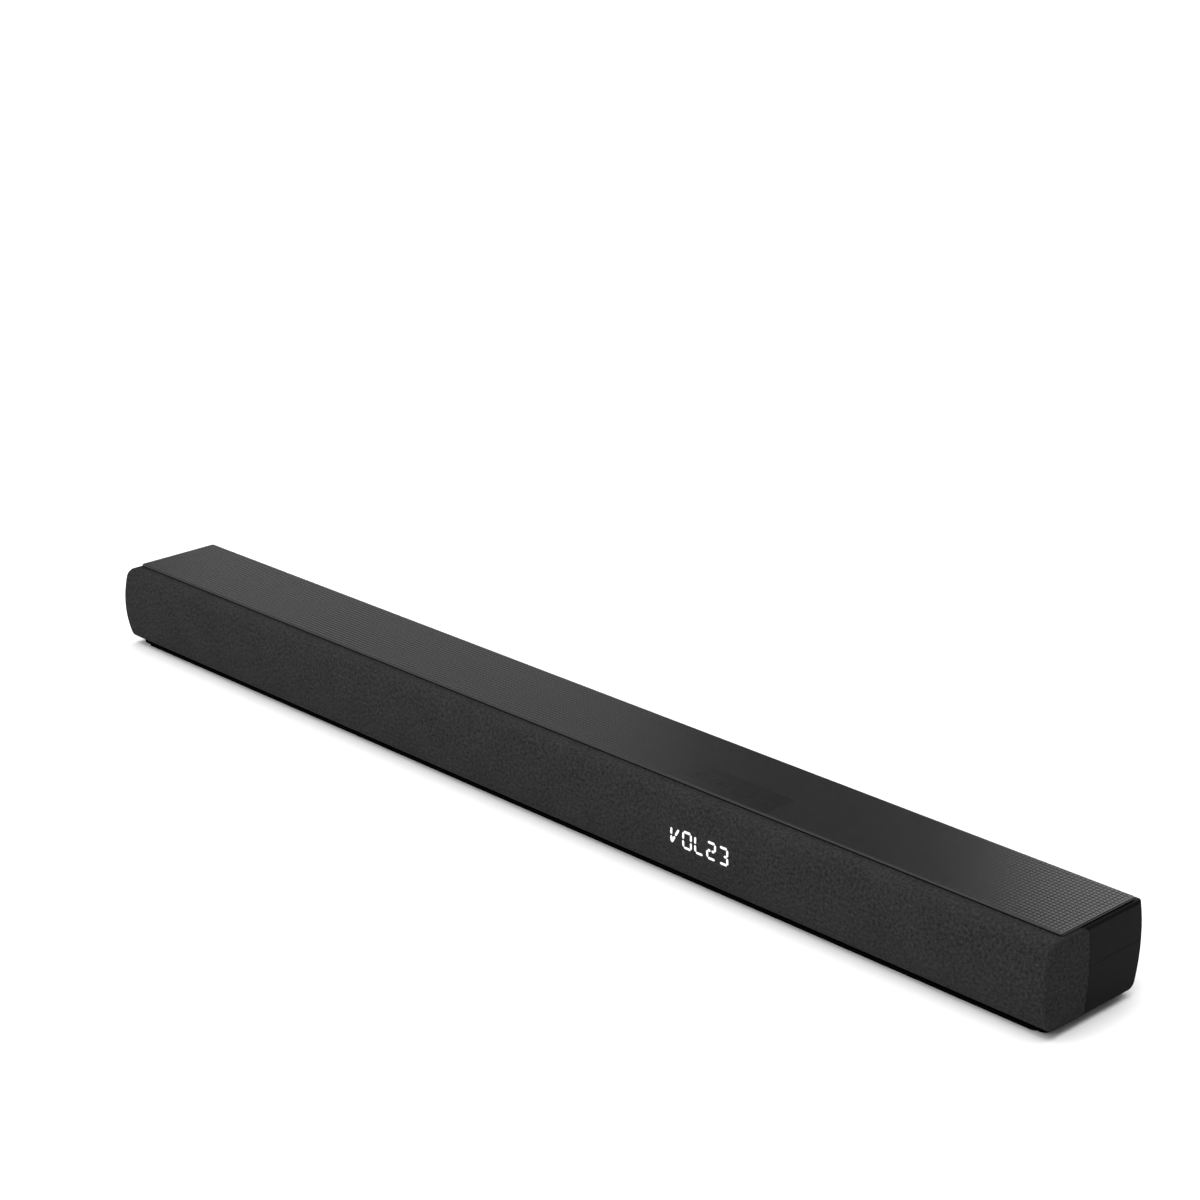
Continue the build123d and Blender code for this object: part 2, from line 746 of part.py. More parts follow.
def shell_socket(label, spot, outer, inner, tongue, tongue_drop, front_y):
    """A board-mounted metal socket: folded shell, closed at the board end, and its plastic tongue."""
    with BuildPart() as socket:
        with BuildSketch(facing_front(front_y)):
            with Locations(spot):
                Rectangle(*outer)
        extrude(amount=-(28 - front_y))
        with BuildSketch(facing_front(front_y + 2)):
            with Locations(spot):
                Rectangle(*inner)
        extrude(amount=-30, mode=Mode.SUBTRACT)
        with BuildSketch(facing_front(front_y + 2)):
            with Locations((spot[0], spot[1] + tongue_drop)):
                Rectangle(*tongue)
        extrude(amount=-9)
    save(socket.part, label)


shell_socket("hdmi_socket", hdmi_spot, (15, 6.2), (14, 4.6), (11, 1.2), -0.3, 14)
shell_socket("usb_socket", usb_spot, (14, 6.6), (12.6, 5.2), (11, 1.8), 1.1, 13)

shutter_axis_y = 27.0
shutter_axis_z = main_board_top + 10.9
with BuildPart() as optical_socket:
    with BuildSketch(facing_front(10)):
        with Locations(optical_spot):
            Rectangle(14, 15)
    extrude(amount=-18)
    with BuildSketch(facing_front(15)):
        with Locations((optical_spot[0], main_board_top + 6.9)):
            Rectangle(9.9, 10.4)
    extrude(amount=-20, mode=Mode.SUBTRACT)
    with BuildSketch(Plane.YZ.offset(optical_spot[0] - 5.75)):
        with Locations((shutter_axis_y, shutter_axis_z)):
            Circle(0.65)
    extrude(amount=11.5, mode=Mode.SUBTRACT)
save(optical_socket.part, "optical_socket")

with BuildPart() as optical_shutter:
    with BuildSketch(Plane.YZ.offset(optical_spot[0] - 4.7)):
        with Locations((shutter_axis_y, shutter_axis_z)):
            Circle(0.6)
        with Locations((shutter_axis_y, shutter_axis_z - 4.5)):
            Rectangle(0.9, 9)
    extrude(amount=9.4)
    with BuildSketch(Plane.YZ.offset(optical_spot[0] - 5.6)):
        with Locations((shutter_axis_y, shutter_axis_z)):
            Circle(0.6)
    extrude(amount=11.2)
save(optical_shutter.part, "optical_shutter")

with BuildPart() as aux_jack:
    with BuildSketch(facing_front(12)):
        with Locations(aux_spot):
            Rectangle(12, 11)
    extrude(amount=-16)
    with BuildSketch(facing_front(28)):
        with Locations(aux_spot):
            Circle(4)
    extrude(amount=-1.5)
    with BuildSketch(facing_front(14.5)):
        with Locations(aux_spot):
            Circle(1.8)
    extrude(amount=-20, mode=Mode.SUBTRACT)
save(aux_jack.part, "aux_jack")

# ---------------------------------------------------------------- fixings
with BuildPart() as wall_inserts:
    with BuildSketch(facing_front(38.5)):
        with Locations(*insert_spots):
            Circle(3)
            Circle(1.65, mode=Mode.SUBTRACT)
    extrude(amount=-8)
save(wall_inserts.part, "wall_inserts")

with BuildPart() as housing_screws:
    with BuildSketch(Plane.XY.offset(1.5)):
        with Locations(*post_spots):
            Circle(2.9)
    extrude(amount=1.7)
    with BuildSketch(Plane.XY.offset(3.2)):
        with Locations(*post_spots):
            Circle(1.5)
    extrude(amount=48)
    with BuildSketch(Plane.XY.offset(1.4)):
        with Locations(*post_spots):
            Rectangle(3.4, 0.7)
            Rectangle(0.7, 3.4)
    extrude(amount=0.9, mode=Mode.SUBTRACT)
save(housing_screws.part, "housing_screws")

with BuildPart() as baffle_screws:
    with BuildSketch(facing_front(baffle_front_y)):
        with Locations(*baffle_screw_spots):
            Circle(2.7)
    extrude(amount=1.6)
    with BuildSketch(facing_front(baffle_front_y)):
        with Locations(*baffle_screw_spots):
            Circle(1.25)
    extrude(amount=-11)
save(baffle_screws.part, "baffle_screws")

with BuildPart() as board_screws:
    for spots, top, direction in ((main_board_screws, main_board_top, 1),
                                  (power_board_screws, power_board_top, 1),
                                  (button_board_screws, button_board_top - board_thickness, -1)):
        with BuildSketch(Plane.XY.offset(top)):
            with Locations(*spots):
                Circle(2.4)
        extrude(amount=1.5 * direction)
        with BuildSketch(Plane.XY.offset(top)):
            with Locations(*spots):
                Circle(1.1)
        extrude(amount=-6 * direction)
save(board_screws.part, "board_screws")


# ---------------------------------------------------------------- leads inside the housing
def lead(points, radii, thickness):
    """A round lead of straight runs joined by tangent arcs."""
    with BuildPart() as wire:
        with BuildLine() as route:
            FilletPolyline(*points, radius=radii)
        with BuildSketch(Plane(origin=route.line @ 0, z_dir=route.line % 0)):
            Circle(thickness / 2)
        sweep()
    return wire.part


def speaker_lead(side, start_x):
    """Lead from the amplifier's edge, through the bulkhead, to a driver's terminal."""
    points = [(side * start_x, -12, 29), (side * (start_x + 40), -15, 33), (side * 158, -16, 32),
              (side * 200, -13, 34), (side * 229, -10, 34), (side * 262, -9, 35.5),
              (side * 288, -15, 35), (side * 294, -21, 34)]
    return lead(points, [40, 60, 50, 60, 24, 12], 2.4)


with BuildPart() as speaker_leads:
    add(speaker_lead(-1, 57))
    add(speaker_lead(1, 82))
save(speaker_leads.part, "speaker_leads")

with BuildPart() as mains_leads:
    for shift in (-4.3, 4.3):
        add(lead([(inlet_spot[0] + shift, 5.5, bay_z), (inlet_spot[0] + shift - 1, -2, 31),
                  (inlet_spot[0] + shift - 10, -7 + shift, 26), (-98 + shift, -6 + shift, 22)], [4, 5], 2))
save(mains_leads.part, "mains_leads")
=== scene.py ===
"""Soundbar: cloth front, waffle-grained cover plate, four flush keys and a lit volume read-out."""

import json
import logging
import math
from dataclasses import dataclass, field, replace
from enum import Enum
from typing import Any, Callable, Iterable, Optional, Union

import bmesh
import bpy
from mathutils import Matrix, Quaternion, Vector

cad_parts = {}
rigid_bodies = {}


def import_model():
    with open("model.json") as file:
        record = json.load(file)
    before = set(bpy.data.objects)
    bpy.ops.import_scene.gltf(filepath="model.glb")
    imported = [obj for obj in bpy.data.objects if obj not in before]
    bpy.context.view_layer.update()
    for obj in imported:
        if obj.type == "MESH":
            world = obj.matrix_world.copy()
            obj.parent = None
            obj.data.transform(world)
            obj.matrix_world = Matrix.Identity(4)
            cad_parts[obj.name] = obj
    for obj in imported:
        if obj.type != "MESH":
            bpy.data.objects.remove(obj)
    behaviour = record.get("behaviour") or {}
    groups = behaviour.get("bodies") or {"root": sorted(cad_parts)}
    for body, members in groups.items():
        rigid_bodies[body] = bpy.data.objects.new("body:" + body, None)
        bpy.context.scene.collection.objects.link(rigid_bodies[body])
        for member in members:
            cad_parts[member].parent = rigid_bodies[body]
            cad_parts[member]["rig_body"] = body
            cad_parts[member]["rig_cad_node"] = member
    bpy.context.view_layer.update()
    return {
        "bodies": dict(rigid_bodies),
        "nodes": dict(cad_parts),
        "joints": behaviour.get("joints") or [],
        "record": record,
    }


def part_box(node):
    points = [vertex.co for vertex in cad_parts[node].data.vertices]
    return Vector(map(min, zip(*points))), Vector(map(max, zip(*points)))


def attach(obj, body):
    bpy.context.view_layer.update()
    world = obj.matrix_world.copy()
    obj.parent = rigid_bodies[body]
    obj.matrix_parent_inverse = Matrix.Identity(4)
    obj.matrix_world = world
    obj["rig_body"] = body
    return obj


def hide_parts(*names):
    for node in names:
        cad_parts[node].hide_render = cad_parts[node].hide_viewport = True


MM = 0.001
LOG = logging.getLogger("soundbar")

Number = Union[int, float]
Point = tuple[float, float]
Triple = tuple[float, float, float]
Tone = tuple[float, float, float, float]

SLACK = 0.01
SAME_PLACE = 0.005
FACING = 0.9


# ---------------------------------------------------------------- shader maths
class Wire:
    """One output socket of a node, on which maths is written as plain expressions."""

    def __init__(self, paint: "Paint", socket: bpy.types.NodeSocket) -> None:
        """Wrap a socket.

        Args:
            paint: the paint whose node tree the socket is in.
            socket: the output socket.
        """
        self.paint = paint
        self.socket = socket

    def maths(self, operation: str, *others: Union["Wire", Number], first: bool = True) -> "Wire":
        """Add one Math node.

        Args:
            operation: the Math node's operation.
            others: the other operands, wires or numbers.
            first: whether this wire is the first operand.

        Returns:
            The node's value.
        """
        operands = [self, *others] if first else [*others, self]
        node = self.paint.node("ShaderNodeMath", {"operation": operation}, dict(enumerate(operands)))
        return Wire(self.paint, node.outputs[0])

    def __add__(self, other: Union["Wire", Number]) -> "Wire":
        """Sum."""
        return self.maths("ADD", other)

    def __radd__(self, other: Number) -> "Wire":
        """Sum, reflected."""
        return self.maths("ADD", other, first=False)

    def __sub__(self, other: Union["Wire", Number]) -> "Wire":
        """Difference."""
        return self.maths("SUBTRACT", other)

    def __rsub__(self, other: Number) -> "Wire":
        """Difference, reflected."""
        return self.maths("SUBTRACT", other, first=False)

    def __mul__(self, other: Union["Wire", Number]) -> "Wire":
        """Product."""
        return self.maths("MULTIPLY", other)

    def __rmul__(self, other: Number) -> "Wire":
        """Product, reflected."""
        return self.maths("MULTIPLY", other, first=False)

    def __gt__(self, other: Union["Wire", Number]) -> "Wire":
        """One where this wire is greater, else zero."""
        return self.maths("GREATER_THAN", other)

    def __abs__(self) -> "Wire":
        """Size without sign."""
        return self.maths("ABSOLUTE")

    def sine(self) -> "Wire":
        """Sine of the value in radians."""
        return self.maths("SINE")

    def larger(self, other: Union["Wire", Number]) -> "Wire":
        """The larger of two values."""
        return self.maths("MAXIMUM", other)

    def smaller(self, other: Union["Wire", Number]) -> "Wire":
        """The smaller of two values."""
        return self.maths("MINIMUM", other)


class Paint:
    """A material under construction: its node tree and its one shader."""

    def __init__(self, name: str) -> None:
        """Start an empty material.

        Args:
            name: the material's name.
        """
        self.material = bpy.data.materials.new(name)
        self.material.use_nodes = True
        self.tree = self.material.node_tree
        self.tree.nodes.clear()
        self.shader = self.node("ShaderNodeBsdfPrincipled")
        output = self.node("ShaderNodeOutputMaterial")
        self.tree.links.new(self.shader.outputs[0], output.inputs["Surface"])

    def node(self, kind: str, settings: Optional[dict[str, Any]] = None,
             inputs: Optional[dict[Any, Any]] = None) -> bpy.types.Node:
        """Add a node.

        Args:
            kind: the node's type.
            settings: the node's own settings, set before its sockets.
            inputs: values or wires of its sockets, by name or number.

        Returns:
            The node.
        """
        made = self.tree.nodes.new(kind)
        for name, value in (settings or {}).items():
            setattr(made, name, value)
        for name, value in (inputs or {}).items():
            if isinstance(value, Wire):
                self.tree.links.new(value.socket, made.inputs[name])
            else:
                made.inputs[name].default_value = value
        return made

    def object_place(self) -> Wire:
        """The point's place on the object, in metres."""
        return Wire(self, self.node("ShaderNodeTexCoord").outputs["Object"])

    def cloth_place(self) -> Wire:
        """The point's place along the threads, in metres."""
        return Wire(self, self.node("ShaderNodeTexCoord").outputs["UV"])

    def parts(self, vector: Wire) -> tuple[Wire, Wire, Wire]:
        """Split a vector.

        Args:
            vector: the vector.

        Returns:
            Its three components.
        """
        split = self.node("ShaderNodeSeparateXYZ", inputs={0: vector})
        return tuple(Wire(self, socket) for socket in split.outputs)

    def noise(self, vector: Wire, size: float, detail: float = 2.0, stretch: Triple = (1, 1, 1)) -> Wire:
        """Cloudy noise from 0 to 1.

        Args:
            vector: where it is read, in metres.
            size: the size of its blotches, in metres.
            detail: how many finer layers it has.
            stretch: how much finer it is along each axis.

        Returns:
            The noise value.
        """
        scale = [s / size for s in stretch]
        placed = self.node("ShaderNodeMapping", inputs={"Vector": vector, "Scale": scale})
        cloud = self.node("ShaderNodeTexNoise", inputs={
            "Vector": Wire(self, placed.outputs[0]), "Scale": 1.0, "Detail": detail, "Roughness": 0.55})
        return Wire(self, cloud.outputs["Fac"])

    def blend(self, share: Union[Wire, Number], low: Any, high: Any) -> Wire:
        """Mix two colours.

        Args:
            share: how much of the second.
            low: the first colour.
            high: the second colour.

        Returns:
            The mixed colour.
        """
        made = self.node("ShaderNodeMix", {"data_type": "RGBA"}, {"Factor": share, 6: low, 7: high})
        return Wire(self, made.outputs[2])

    def emboss(self, height: Wire, depth: float, strength: float = 1.0) -> Wire:
        """Fine surface relief.

        Args:
            height: the relief, from 0 to 1.
            depth: its depth in metres.
            strength: how strongly it tilts the surface.

        Returns:
            The tilted normal.
        """
        made = self.node("ShaderNodeBump", inputs={"Strength": strength, "Distance": depth, "Height": height})
        return Wire(self, made.outputs["Normal"])

    def feed(self, **inputs: Any) -> None:
        """Set or link the shader's sockets; an underscore in a name stands for a space."""
        for name, value in inputs.items():
            socket = self.shader.inputs[name.replace("_", " ")]
            if isinstance(value, Wire):
                self.tree.links.new(value.socket, socket)
            else:
                socket.default_value = value


def grey(level: float) -> Tone:
    """A grey of one brightness, as red, green, blue and 1."""
    return (level, level, level, 1.0)


# ---------------------------------------------------------------- finishes
@dataclass(frozen=True)
class Finish:
    """A named surface finish, made into a material once."""

    name: str
    slot: str

    def material(self) -> bpy.types.Material:
        """The finish's material, painted the first time it is asked for."""
        found = bpy.data.materials.get(self.name)
        if found is None:
            paint = Paint(self.name)
            self.paint(paint)
            found = paint.material
        return found

    def paint(self, paint: Paint) -> None:
        """Build the finish's nodes."""
        raise NotImplementedError

    def dress(self, piece: bpy.types.Object) -> None:
        """Give a piece this finish and nothing else."""
        piece.data.materials.clear()
        piece.data.materials.append(self.material())


@dataclass(frozen=True)
class Moulded(Finish):
    """Moulded plastic or rubber: fine spark grain, faint mottling, uneven gloss."""

    dark: Tone = (0.01, 0.01, 0.01, 1)
    light: Tone = (0.014, 0.014, 0.014, 1)
    gloss_low: float = 0.42
    gloss_high: float = 0.55
    shine: float = 0.3
    grain: float = 0.35 * MM
    grain_depth: float = 0.02 * MM

    def paint(self, paint: Paint) -> None:
        """Mottled colour, uneven roughness and fine relief."""
        place = paint.object_place()
        mottle = paint.noise(place, 9 * MM, 4)
        fine = paint.noise(place, self.grain, 3)
        mask = mottle * 0.7 + fine * 0.3
        paint.feed(
            Base_Color=paint.blend(mask, self.dark, self.light),
            Roughness=mottle * (self.gloss_high - self.gloss_low) + self.gloss_low,
            Specular_IOR_Level=self.shine,
            Normal=paint.emboss(fine, self.grain_depth, 0.5),
        )


@dataclass(frozen=True)
class Woven(Finish):
    """Tightly woven acoustic cloth: heathered threads over and under each other."""

    dark: Tone = (0.003, 0.003, 0.003, 1)
    light: Tone = (0.036, 0.036, 0.036, 1)
    thread: float = 0.55 * MM
    fuzz: float = 0.01

    def paint(self, paint: Paint) -> None:
        """Over-and-under threads from the cloth's own map, each thread a little lighter or darker, with
        painted shade where the threads dip.
        """
        place = paint.cloth_place()
        across, along, _ = paint.parts(place)
        turn = math.pi / self.thread
        warp_wave, weft_wave = (across * turn).sine(), (along * turn).sine()
        over = (warp_wave * weft_wave > 0.0)
        under = 1 - over
        warp = abs(warp_wave) * (0.35 + over * 0.65)
        weft = abs(weft_wave) * (0.35 + under * 0.65)
        relief = warp.larger(weft)
        heather_up = paint.noise(place, 1.0 * MM, 2, (2.2, 0.35, 1))
        heather_across = paint.noise(place, 1.0 * MM, 2, (0.35, 2.2, 1))
        blotch = paint.noise(place, 2.2 * MM, 4)
        cloud = paint.noise(place, 30 * MM, 3)
        strand = heather_up * over + heather_across * under
        # The relief term is painted shade: thread edges and under-passing threads darker where they dip; the
        # heather, blotch and cloud terms are the yarn's own random tone.
        tone = relief * 0.3 + (strand - 0.5) * 1.1 + (blotch - 0.5) * 1.5 + (cloud - 0.5) * 0.3 + 0.34
        fibre = paint.noise(place, 0.12 * MM, 2)
        paint.feed(
            Base_Color=paint.blend(tone.larger(0.0).smaller(1.0), self.dark, self.light),
            Roughness=0.82 + fibre * 0.15,
            Specular_IOR_Level=0.04,
            Sheen_Weight=self.fuzz,
            Sheen_Roughness=0.6,
            Sheen_Tint=grey(0.2),
            Normal=paint.emboss(relief + fibre * 0.25 + blotch * 0.3, 0.12 * MM, 0.7),
        )


@dataclass(frozen=True)
class Metal(Finish):
    """Plated or brushed metal with fine drawn lines and dulled patches."""

    tint: Tone = (0.6, 0.6, 0.6, 1)
    dull: float = 0.5
    brushed: Triple = (0.15, 1, 1)

    def paint(self, paint: Paint) -> None:
        """Drawn lines in the gloss and a slightly darker patina in patches."""
        place = paint.object_place()
        lines = paint.noise(place, 0.4 * MM, 3, self.brushed)
        patina = paint.noise(place, 6 * MM, 4)
        worn = tuple(c * self.dull for c in self.tint[:3]) + (1.0,)
        paint.feed(
            Base_Color=paint.blend(patina, worn, self.tint),
            Metallic=1.0,
            Roughness=0.22 + lines * 0.3,
            Normal=paint.emboss(lines, 0.01 * MM, 0.4),
        )


@dataclass(frozen=True)
class CircuitBoard(Finish):
    """Solder-masked board with a maze of tracks under the lacquer."""

    mask: Tone = (0.012, 0.05, 0.022, 1)
    track: Tone = (0.03, 0.12, 0.05, 1)

    def paint(self, paint: Paint) -> None:
        """Tracks from stepped noise, raised a hair under the lacquer."""
        place = paint.object_place()
        lanes = paint.noise(place, 3.5 * MM, 1, (0.3, 1, 1))
        track = ((lanes * 40).sine() > 0.35)
        speck = paint.noise(place, 0.5 * MM, 2)
        paint.feed(
            Base_Color=paint.blend(track * 0.8 + speck * 0.2, self.mask, self.track),
            Roughness=0.28 + speck * 0.2,
            Coat_Weight=0.4,
            Coat_Roughness=0.15,
            Normal=paint.emboss(track, 0.03 * MM, 0.5),
        )


@dataclass(frozen=True)
class Fibrous(Finish):
    """Paper, felt, foam or spider cloth: matt, flecked and slightly rough."""

    dark: Tone = (0.01, 0.01, 0.01, 1)
    light: Tone = (0.03, 0.03, 0.03, 1)
    fleck: float = 0.8 * MM
    depth: float = 0.15 * MM

    def paint(self, paint: Paint) -> None:
        """Flecked colour and a pitted surface."""
        place = paint.object_place()
        fleck = paint.noise(place, self.fleck, 5)
        cells = {"Vector": place, "Scale": 1 / self.fleck}
        pit = Wire(paint, paint.node("ShaderNodeTexVoronoi", {"feature": "F1"}, cells).outputs["Distance"])
        paint.feed(
            Base_Color=paint.blend(fleck, self.dark, self.light),
            Roughness=0.8 + fleck * 0.18,
            Specular_IOR_Level=0.15,
            Normal=paint.emboss(pit * 0.6 + fleck * 0.4, self.depth, 0.8),
        )


@dataclass(frozen=True)
class Glow(Finish):
    """Light from a lamp, seen between threads."""

    tint: Tone = (1, 1, 1, 1)
    power: float = 1.2
    veil: float = 0.25
    thread: float = 0.55 * MM

    def paint(self, paint: Paint) -> None:
        """A bright face crossed by the faint shade of the threads before it."""
        place = paint.object_place()
        side, _, height = paint.parts(place)
        turn = math.pi / self.thread
        mesh = abs((side * turn).sine()) * abs((height * turn).sine())
        uneven = paint.noise(place, 4 * MM, 2)
        share = (1 - mesh * self.veil) * (0.9 + uneven * 0.2)
        paint.feed(
            Base_Color=grey(0.25),
            Roughness=0.6,
            Emission_Color=paint.blend(share, (0, 0, 0, 1), self.tint),
            Emission_Strength=self.power,
        )


CLOTH = Woven("charcoal_cloth", "cloth")
COVER = Moulded("cover_plastic_satin", "cover_plastic", grey(0.005), grey(0.007), 0.22, 0.27, 0.07, 0.25 * MM,
                0.004 * MM)
GRAIN = replace(COVER, name="cover_plastic_grained", shine=0.15)
# A lighter, shinier copy of the cover plastic for the plate's bevelled rim: its lighter grey is a painted
# highlight along the edge.
RIM_PAINTED_HIGHLIGHT = replace(COVER, name="cover_plastic_rim_painted_highlight", dark=grey(0.006), light=grey(0.008), gloss_low=0.26,
              gloss_high=0.32, shine=0.36)
KEY = replace(COVER, name="key_plastic_satin", slot="key_plastic")
HOUSING = Moulded("housing_plastic_satin", "housing_plastic", grey(0.0024), grey(0.0036), 0.44, 0.54, 0.03,
                  0.3 * MM, 0.012 * MM)
BASE = Moulded("base_plastic_matt", "base_plastic", grey(0.0006), grey(0.001), 0.55, 0.7, 0.0)
INNER = Moulded("inner_plastic_black", "inner_plastic", grey(0.012), grey(0.02), 0.45, 0.6, 0.3)
RUBBER = Moulded("foot_rubber", "rubber", grey(0.001), grey(0.002), 0.7, 0.85, 0.02, 0.5 * MM, 0.04 * MM)
INK = Moulded("icon_ink", "key_plastic", grey(0.0016), grey(0.003), 0.5, 0.6, 0.1, 0.2 * MM, 0.005 * MM)
SOCKET = Moulded("socket_plastic_black", "board_part", grey(0.008), grey(0.013), 0.35, 0.5, 0.35)
SMOKED = Moulded("smoked_window", "smoked", grey(0.004), grey(0.007), 0.08, 0.16, 0.5, 0.4 * MM, 0.002 * MM)
CAPACITOR = Moulded("capacitor_sleeve", "capacitor", (0.01, 0.012, 0.03, 1), (0.015, 0.018, 0.045, 1), 0.25,
                    0.35, 0.5)
WIRE = Moulded("wire_jacket", "wire", (0.12, 0.008, 0.006, 1), (0.18, 0.012, 0.01, 1), 0.35, 0.5, 0.4)
FERRITE = Moulded("ferrite", "ferrite", grey(0.03), grey(0.05), 0.5, 0.7, 0.3, 0.3 * MM, 0.03 * MM)
STEEL = Metal("zinc_steel", "steel", (0.55, 0.55, 0.53, 1))
DARK_STEEL = Metal("blackened_steel", "dark_steel", (0.045, 0.045, 0.047, 1), 0.6)
ALU = Metal("brushed_aluminium", "alu", (0.72, 0.73, 0.74, 1), 0.7)
COPPER = Metal("copper_winding", "copper", (0.75, 0.32, 0.16, 1), 0.6, (1, 0.1, 1))
BRASS = Metal("brass", "brass", (0.72, 0.52, 0.22, 1), 0.6)
BOARD = CircuitBoard("board_lacquer", "circuit_board")
PAPER = Fibrous("cone_paper", "paper", grey(0.012), grey(0.035), 1.2 * MM, 0.1 * MM)
FOAM = Fibrous("damping_wadding", "foam", grey(0.06), grey(0.16), 1.6 * MM, 0.6 * MM)
SPIDER = Fibrous("spider_weave", "spider_cloth", (0.25, 0.14, 0.05, 1), (0.42, 0.26, 0.11, 1), 0.6 * MM)
LAMP = Glow("lamp_figures", "lamp", power=1.0)
READ_OUT = Glow("figures_through_cloth", "lamp", (1.0, 1.0, 1.0, 1), 1.0, 0.22)

NODES_BY_FINISH: dict[Finish, str] = {
    INNER: "grille_frame front_baffle chamber_bulkheads connector_bay",
    HOUSING: "upper_housing lower_housing",
    COVER: "top_cover",
    BASE: "base_plate",
    RUBBER: "rubber_feet driver_gaskets surround_left surround_right",
    DARK_STEEL: "driver_baskets driver_screws housing_screws baffle_screws",
    STEEL: "driver_top_plates driver_yokes tact_switches hdmi_socket usb_socket board_screws",
    FERRITE: "driver_magnets output_inductors",
    PAPER: "cone_left cone_right dust_cap_left dust_cap_right",
    COPPER: "voice_coil_left voice_coil_right mains_transformer",
    SPIDER: "spider_left spider_right",
    FOAM: "damping_foam",
    BOARD: "display_board button_board main_board power_board",
    SMOKED: "display_window ir_receiver",
    LAMP: "display_digits",
    KEY: "key_power key_source key_minus key_plus",
    SOCKET: (
        "plunger_power plunger_source plunger_minus plunger_plus ac_inlet optical_socket "
        "optical_shutter aux_jack"),
    ALU: "amp_heatsink",
    CAPACITOR: "board_capacitors",
    BRASS: "inlet_pins wall_inserts",
    WIRE: "speaker_leads mains_leads",
    CLOTH: "grille_cloth",
}
CAD_FINISHES = {name: finish for finish, names in NODES_BY_FINISH.items() for name in names.split()}


